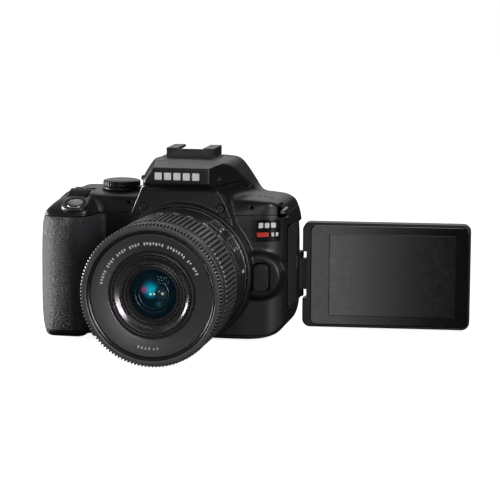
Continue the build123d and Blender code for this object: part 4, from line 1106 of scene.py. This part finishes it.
def dials():
    """The mode dial's cap and the main dial's wheel, both with a ribbed rim."""
    low, high = box_of("mode_dial")
    middle = (low + high) / 2
    rim = (high.x - low.x) / 2
    top = high.z
    rows = plain([(top - 0.25, 0.0), (top - 0.25, rim - 1.8), (top - 0.05, rim - 1.5), (top, rim - 1.2),
                  (top - 0.15, rim - 0.75)])
    rows += [(top - 0.4, rim - 0.25, 0.4), (top - 0.7, rim, 1.0), (72.5, rim, 1.0), (72.2, rim - 0.2, 0.5)]
    rows += plain([(72.0, rim - 0.6), (72.0, 2.4), (64.0, 2.4), (64.0, 0.0)])
    points, faces = about_y(rows, 40, rib(0.5, 0.45), closed=False)
    points = [(middle.x + x, middle.y + z, y) for x, y, z in points]
    piece("mode_dial_cap", points, faces, DIAL, "mode_dial", "dial_plastic", ["mode_dial"])
    low, high = box_of("main_dial")
    middle = (low + high) / 2
    rim, half = (high.z - low.z) / 2, 4.5
    rows = plain([(-half - 2.6, 0.0), (-half - 2.6, 1.5), (-half, 1.5), (-half, rim - 1.0),
                  (-half + 0.15, rim - 0.6)])
    rows += [(-half + 0.5, rim - 0.1, 0.8), (-half + 0.9, rim, 1.0)]
    rows += [(-h, r, ribs) for h, r, ribs in reversed(rows)]
    points, faces = about_y(rows, 32, rib(0.5, 0.5), closed=False)
    points = [(middle.x + y, middle.y + x, middle.z + z) for x, y, z in points]
    piece("main_dial_wheel", points, faces, DIAL, "main_dial", "dial_plastic", ["main_dial"])


# ---- CAD nodes that stay ----
EDGE_WIDTHS = {
    "hot_shoe": 0.25, "eyecup": 0.5, "screen_housing": 0.35, "power_lever": 0.2, "lens_release_button": 0.5,
    "focus_mode_switch": 0.15, "stabilizer_switch": 0.15, "screen_hinge": 0.2, "strap_lugs": 0.15,
    "tripod_socket": 0.2, "mount_ring": 0.15,
}


def dress_nodes():
    """Gives every CAD node its finish, and those that still show and are listed in EDGE_WIDTHS rounded edges."""
    slots = {row["node"]: row["material_slot"] for row in frame["record"]["subparts"]}
    for name, node in frame["nodes"].items():
        node.data.materials.clear()
        node.data.materials.append(LOOKS[slots[name]])
        if not node.hide_render and name in EDGE_WIDTHS:
            soften(node, EDGE_WIDTHS[name])


# ---- studio ----
def softbox(name, at, aim, size, power, size_y=None):
    """A white area light that looks at a point."""
    light = bpy.data.lights.new(name, "AREA")
    light.shape = "RECTANGLE" if size_y else "SQUARE"
    light.size = size
    if size_y:
        light.size_y = size_y
    light.energy = power
    holder = placed(name, light)
    holder.location = at
    holder.rotation_euler = (Vector(aim) - Vector(at)).to_track_quat("-Z", "Y").to_euler()


def board(name, corners):
    """A flat board of the studio, its corners in metres."""
    mesh = bpy.data.meshes.new(name)
    mesh.from_pydata(corners, [], [(0, 1, 2, 3)])
    return placed(name, mesh)


def reflection_card():
    """A glowing board low in front of the screen, seen only as a sheen on it: bright at its left end."""
    sheen = 1.5
    corners = [(0.02, -0.66, 0.0), (0.24, -0.66, 0.0), (0.24, -0.66, -0.20), (0.02, -0.66, -0.20)]
    card = board("sheen_card", corners)
    material, tree, shader = new_material("sheen_card")
    where = add(tree, "TexCoord")
    split = add(tree, "SeparateXYZ")
    link(where.outputs["Object"], split.inputs["Vector"])
    fade = worked(tree, "Math", "POWER", ramp(tree, split.outputs["X"], 0.07, 0.17, 1.0, 0.08), 2.2)
    link(worked(tree, "Math", "MULTIPLY", fade, sheen), shader.inputs["Emission Strength"])
    shader.inputs["Emission Color"].default_value = (0.98, 0.99, 1.0, 1.0)
    shader.inputs["Base Color"].default_value = (0, 0, 0, 1)
    card.data.materials.append(material)
    for kind in ("camera", "diffuse", "transmission", "shadow"):
        setattr(card, "visible_" + kind, False)
    card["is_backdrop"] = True


def white_floor():
    """A glowing floor just under the object."""
    floor = board("floor", [(-6, -6, 0), (6, -6, 0), (6, 6, 0), (-6, 6, 0)])
    floor.location.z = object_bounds()[0].z - 0.0001
    material = finish("floor_paper", (0.5, 0.5, 0.5), 0.9, mottle=0.01)
    shader = material.node_tree.nodes["Principled BSDF"]
    shader.inputs["Emission Color"].default_value = (1, 1, 1, 1)
    shader.inputs["Emission Strength"].default_value = 0.9
    floor.data.materials.append(material)
    floor.visible_glossy = False
    floor.visible_diffuse = False
    floor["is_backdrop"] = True


def surroundings():
    """White to the camera; to the surfaces, a glow from the upper left and a bright wall behind."""
    world = bpy.data.worlds.new("studio")
    bpy.context.scene.world = world
    world.use_nodes = True
    tree = world.node_tree
    tree.nodes.clear()
    where = add(tree, "TexCoord")
    glows = []
    for direction, low, high, strength in (((-0.62, -0.05, 0.78), 0.1, 0.95, 0.07),
                                           ((-0.12, 0.80, 0.58), 0.80, 0.97, 1.2)):
        facing = worked(tree, "VectorMath", "DOT_PRODUCT", where.outputs["Generated"], direction)
        glows.append(ramp(tree, facing, low, high, 0.008, strength))
    around = add(tree, "Background")
    link(worked(tree, "Math", "ADD", *glows), around.inputs["Strength"])
    behind = add(tree, "Background", Strength=1.0)
    seen = add(tree, "LightPath")
    mix = add(tree, "MixShader")
    out = add(tree, "OutputWorld")
    link(seen.outputs["Is Camera Ray"], mix.inputs[0])
    link(around.outputs["Background"], mix.inputs[1])
    link(behind.outputs["Background"], mix.inputs[2])
    link(mix.outputs["Shader"], out.inputs["Surface"])


def studio():
    """Floor, world, card and lights, with places in metres and powers in watts."""
    white_floor()
    surroundings()
    reflection_card()
    softbox("left", (-0.95, 0.02, 0.14), (-0.04, -0.02, 0.05), 0.50, 22.0, size_y=0.26)
    softbox("key", (-0.80, -0.75, 0.75), (0.0, -0.03, 0.05), 0.40, 0.6)
    softbox("top", (0.0, 0.25, 0.95), (0.0, 0.0, 0.05), 0.7, 0.6)
    softbox("front", (0.05, -1.25, 0.30), (0.0, -0.09, 0.03), 0.4, 1.5, size_y=0.25)
    softbox("right_strip", (0.72, -0.60, 0.30), (0.05, -0.02, 0.04), 0.12, 6.0, size_y=0.6)
    bpy.context.scene.view_settings.view_transform = "Standard"


def camera():
    """The viewpoint: its angles, its distance to a point over the base, and that point's place in view."""
    azimuth, height, roll = math.radians(11.0), math.radians(8.91), math.radians(0.29)
    distance, aim = 1079.3, Vector((0, 0, 45))
    aim_right, aim_up = -28.6854, 3.3960
    level = Vector((math.sin(azimuth), -math.cos(azimuth), 0))
    back = level * math.cos(height) + Vector((0, 0, math.sin(height)))
    right = Vector((math.cos(azimuth), math.sin(azimuth), 0))
    up = back.cross(right)
    across = right * math.cos(roll) + up * math.sin(roll)
    upward = up * math.cos(roll) - right * math.sin(roll)
    data = bpy.data.cameras.new("camera")
    data.sensor_width = 36.0
    data.lens = 157.2048
    data.clip_start, data.clip_end = 0.05, 50.0
    holder = placed("camera", data)
    place = aim + back * distance - across * aim_right - upward * aim_up
    turn = Matrix((across, upward, back)).transposed().to_4x4()
    holder.matrix_world = Matrix.Translation(place * MM) @ turn
    bpy.context.scene.camera = holder


body_skins()
details()
lens()
screen()
shoe_stop()
shutter_release()
dials()
dress_nodes()
studio()
camera()

bpy.context.view_layer.update()
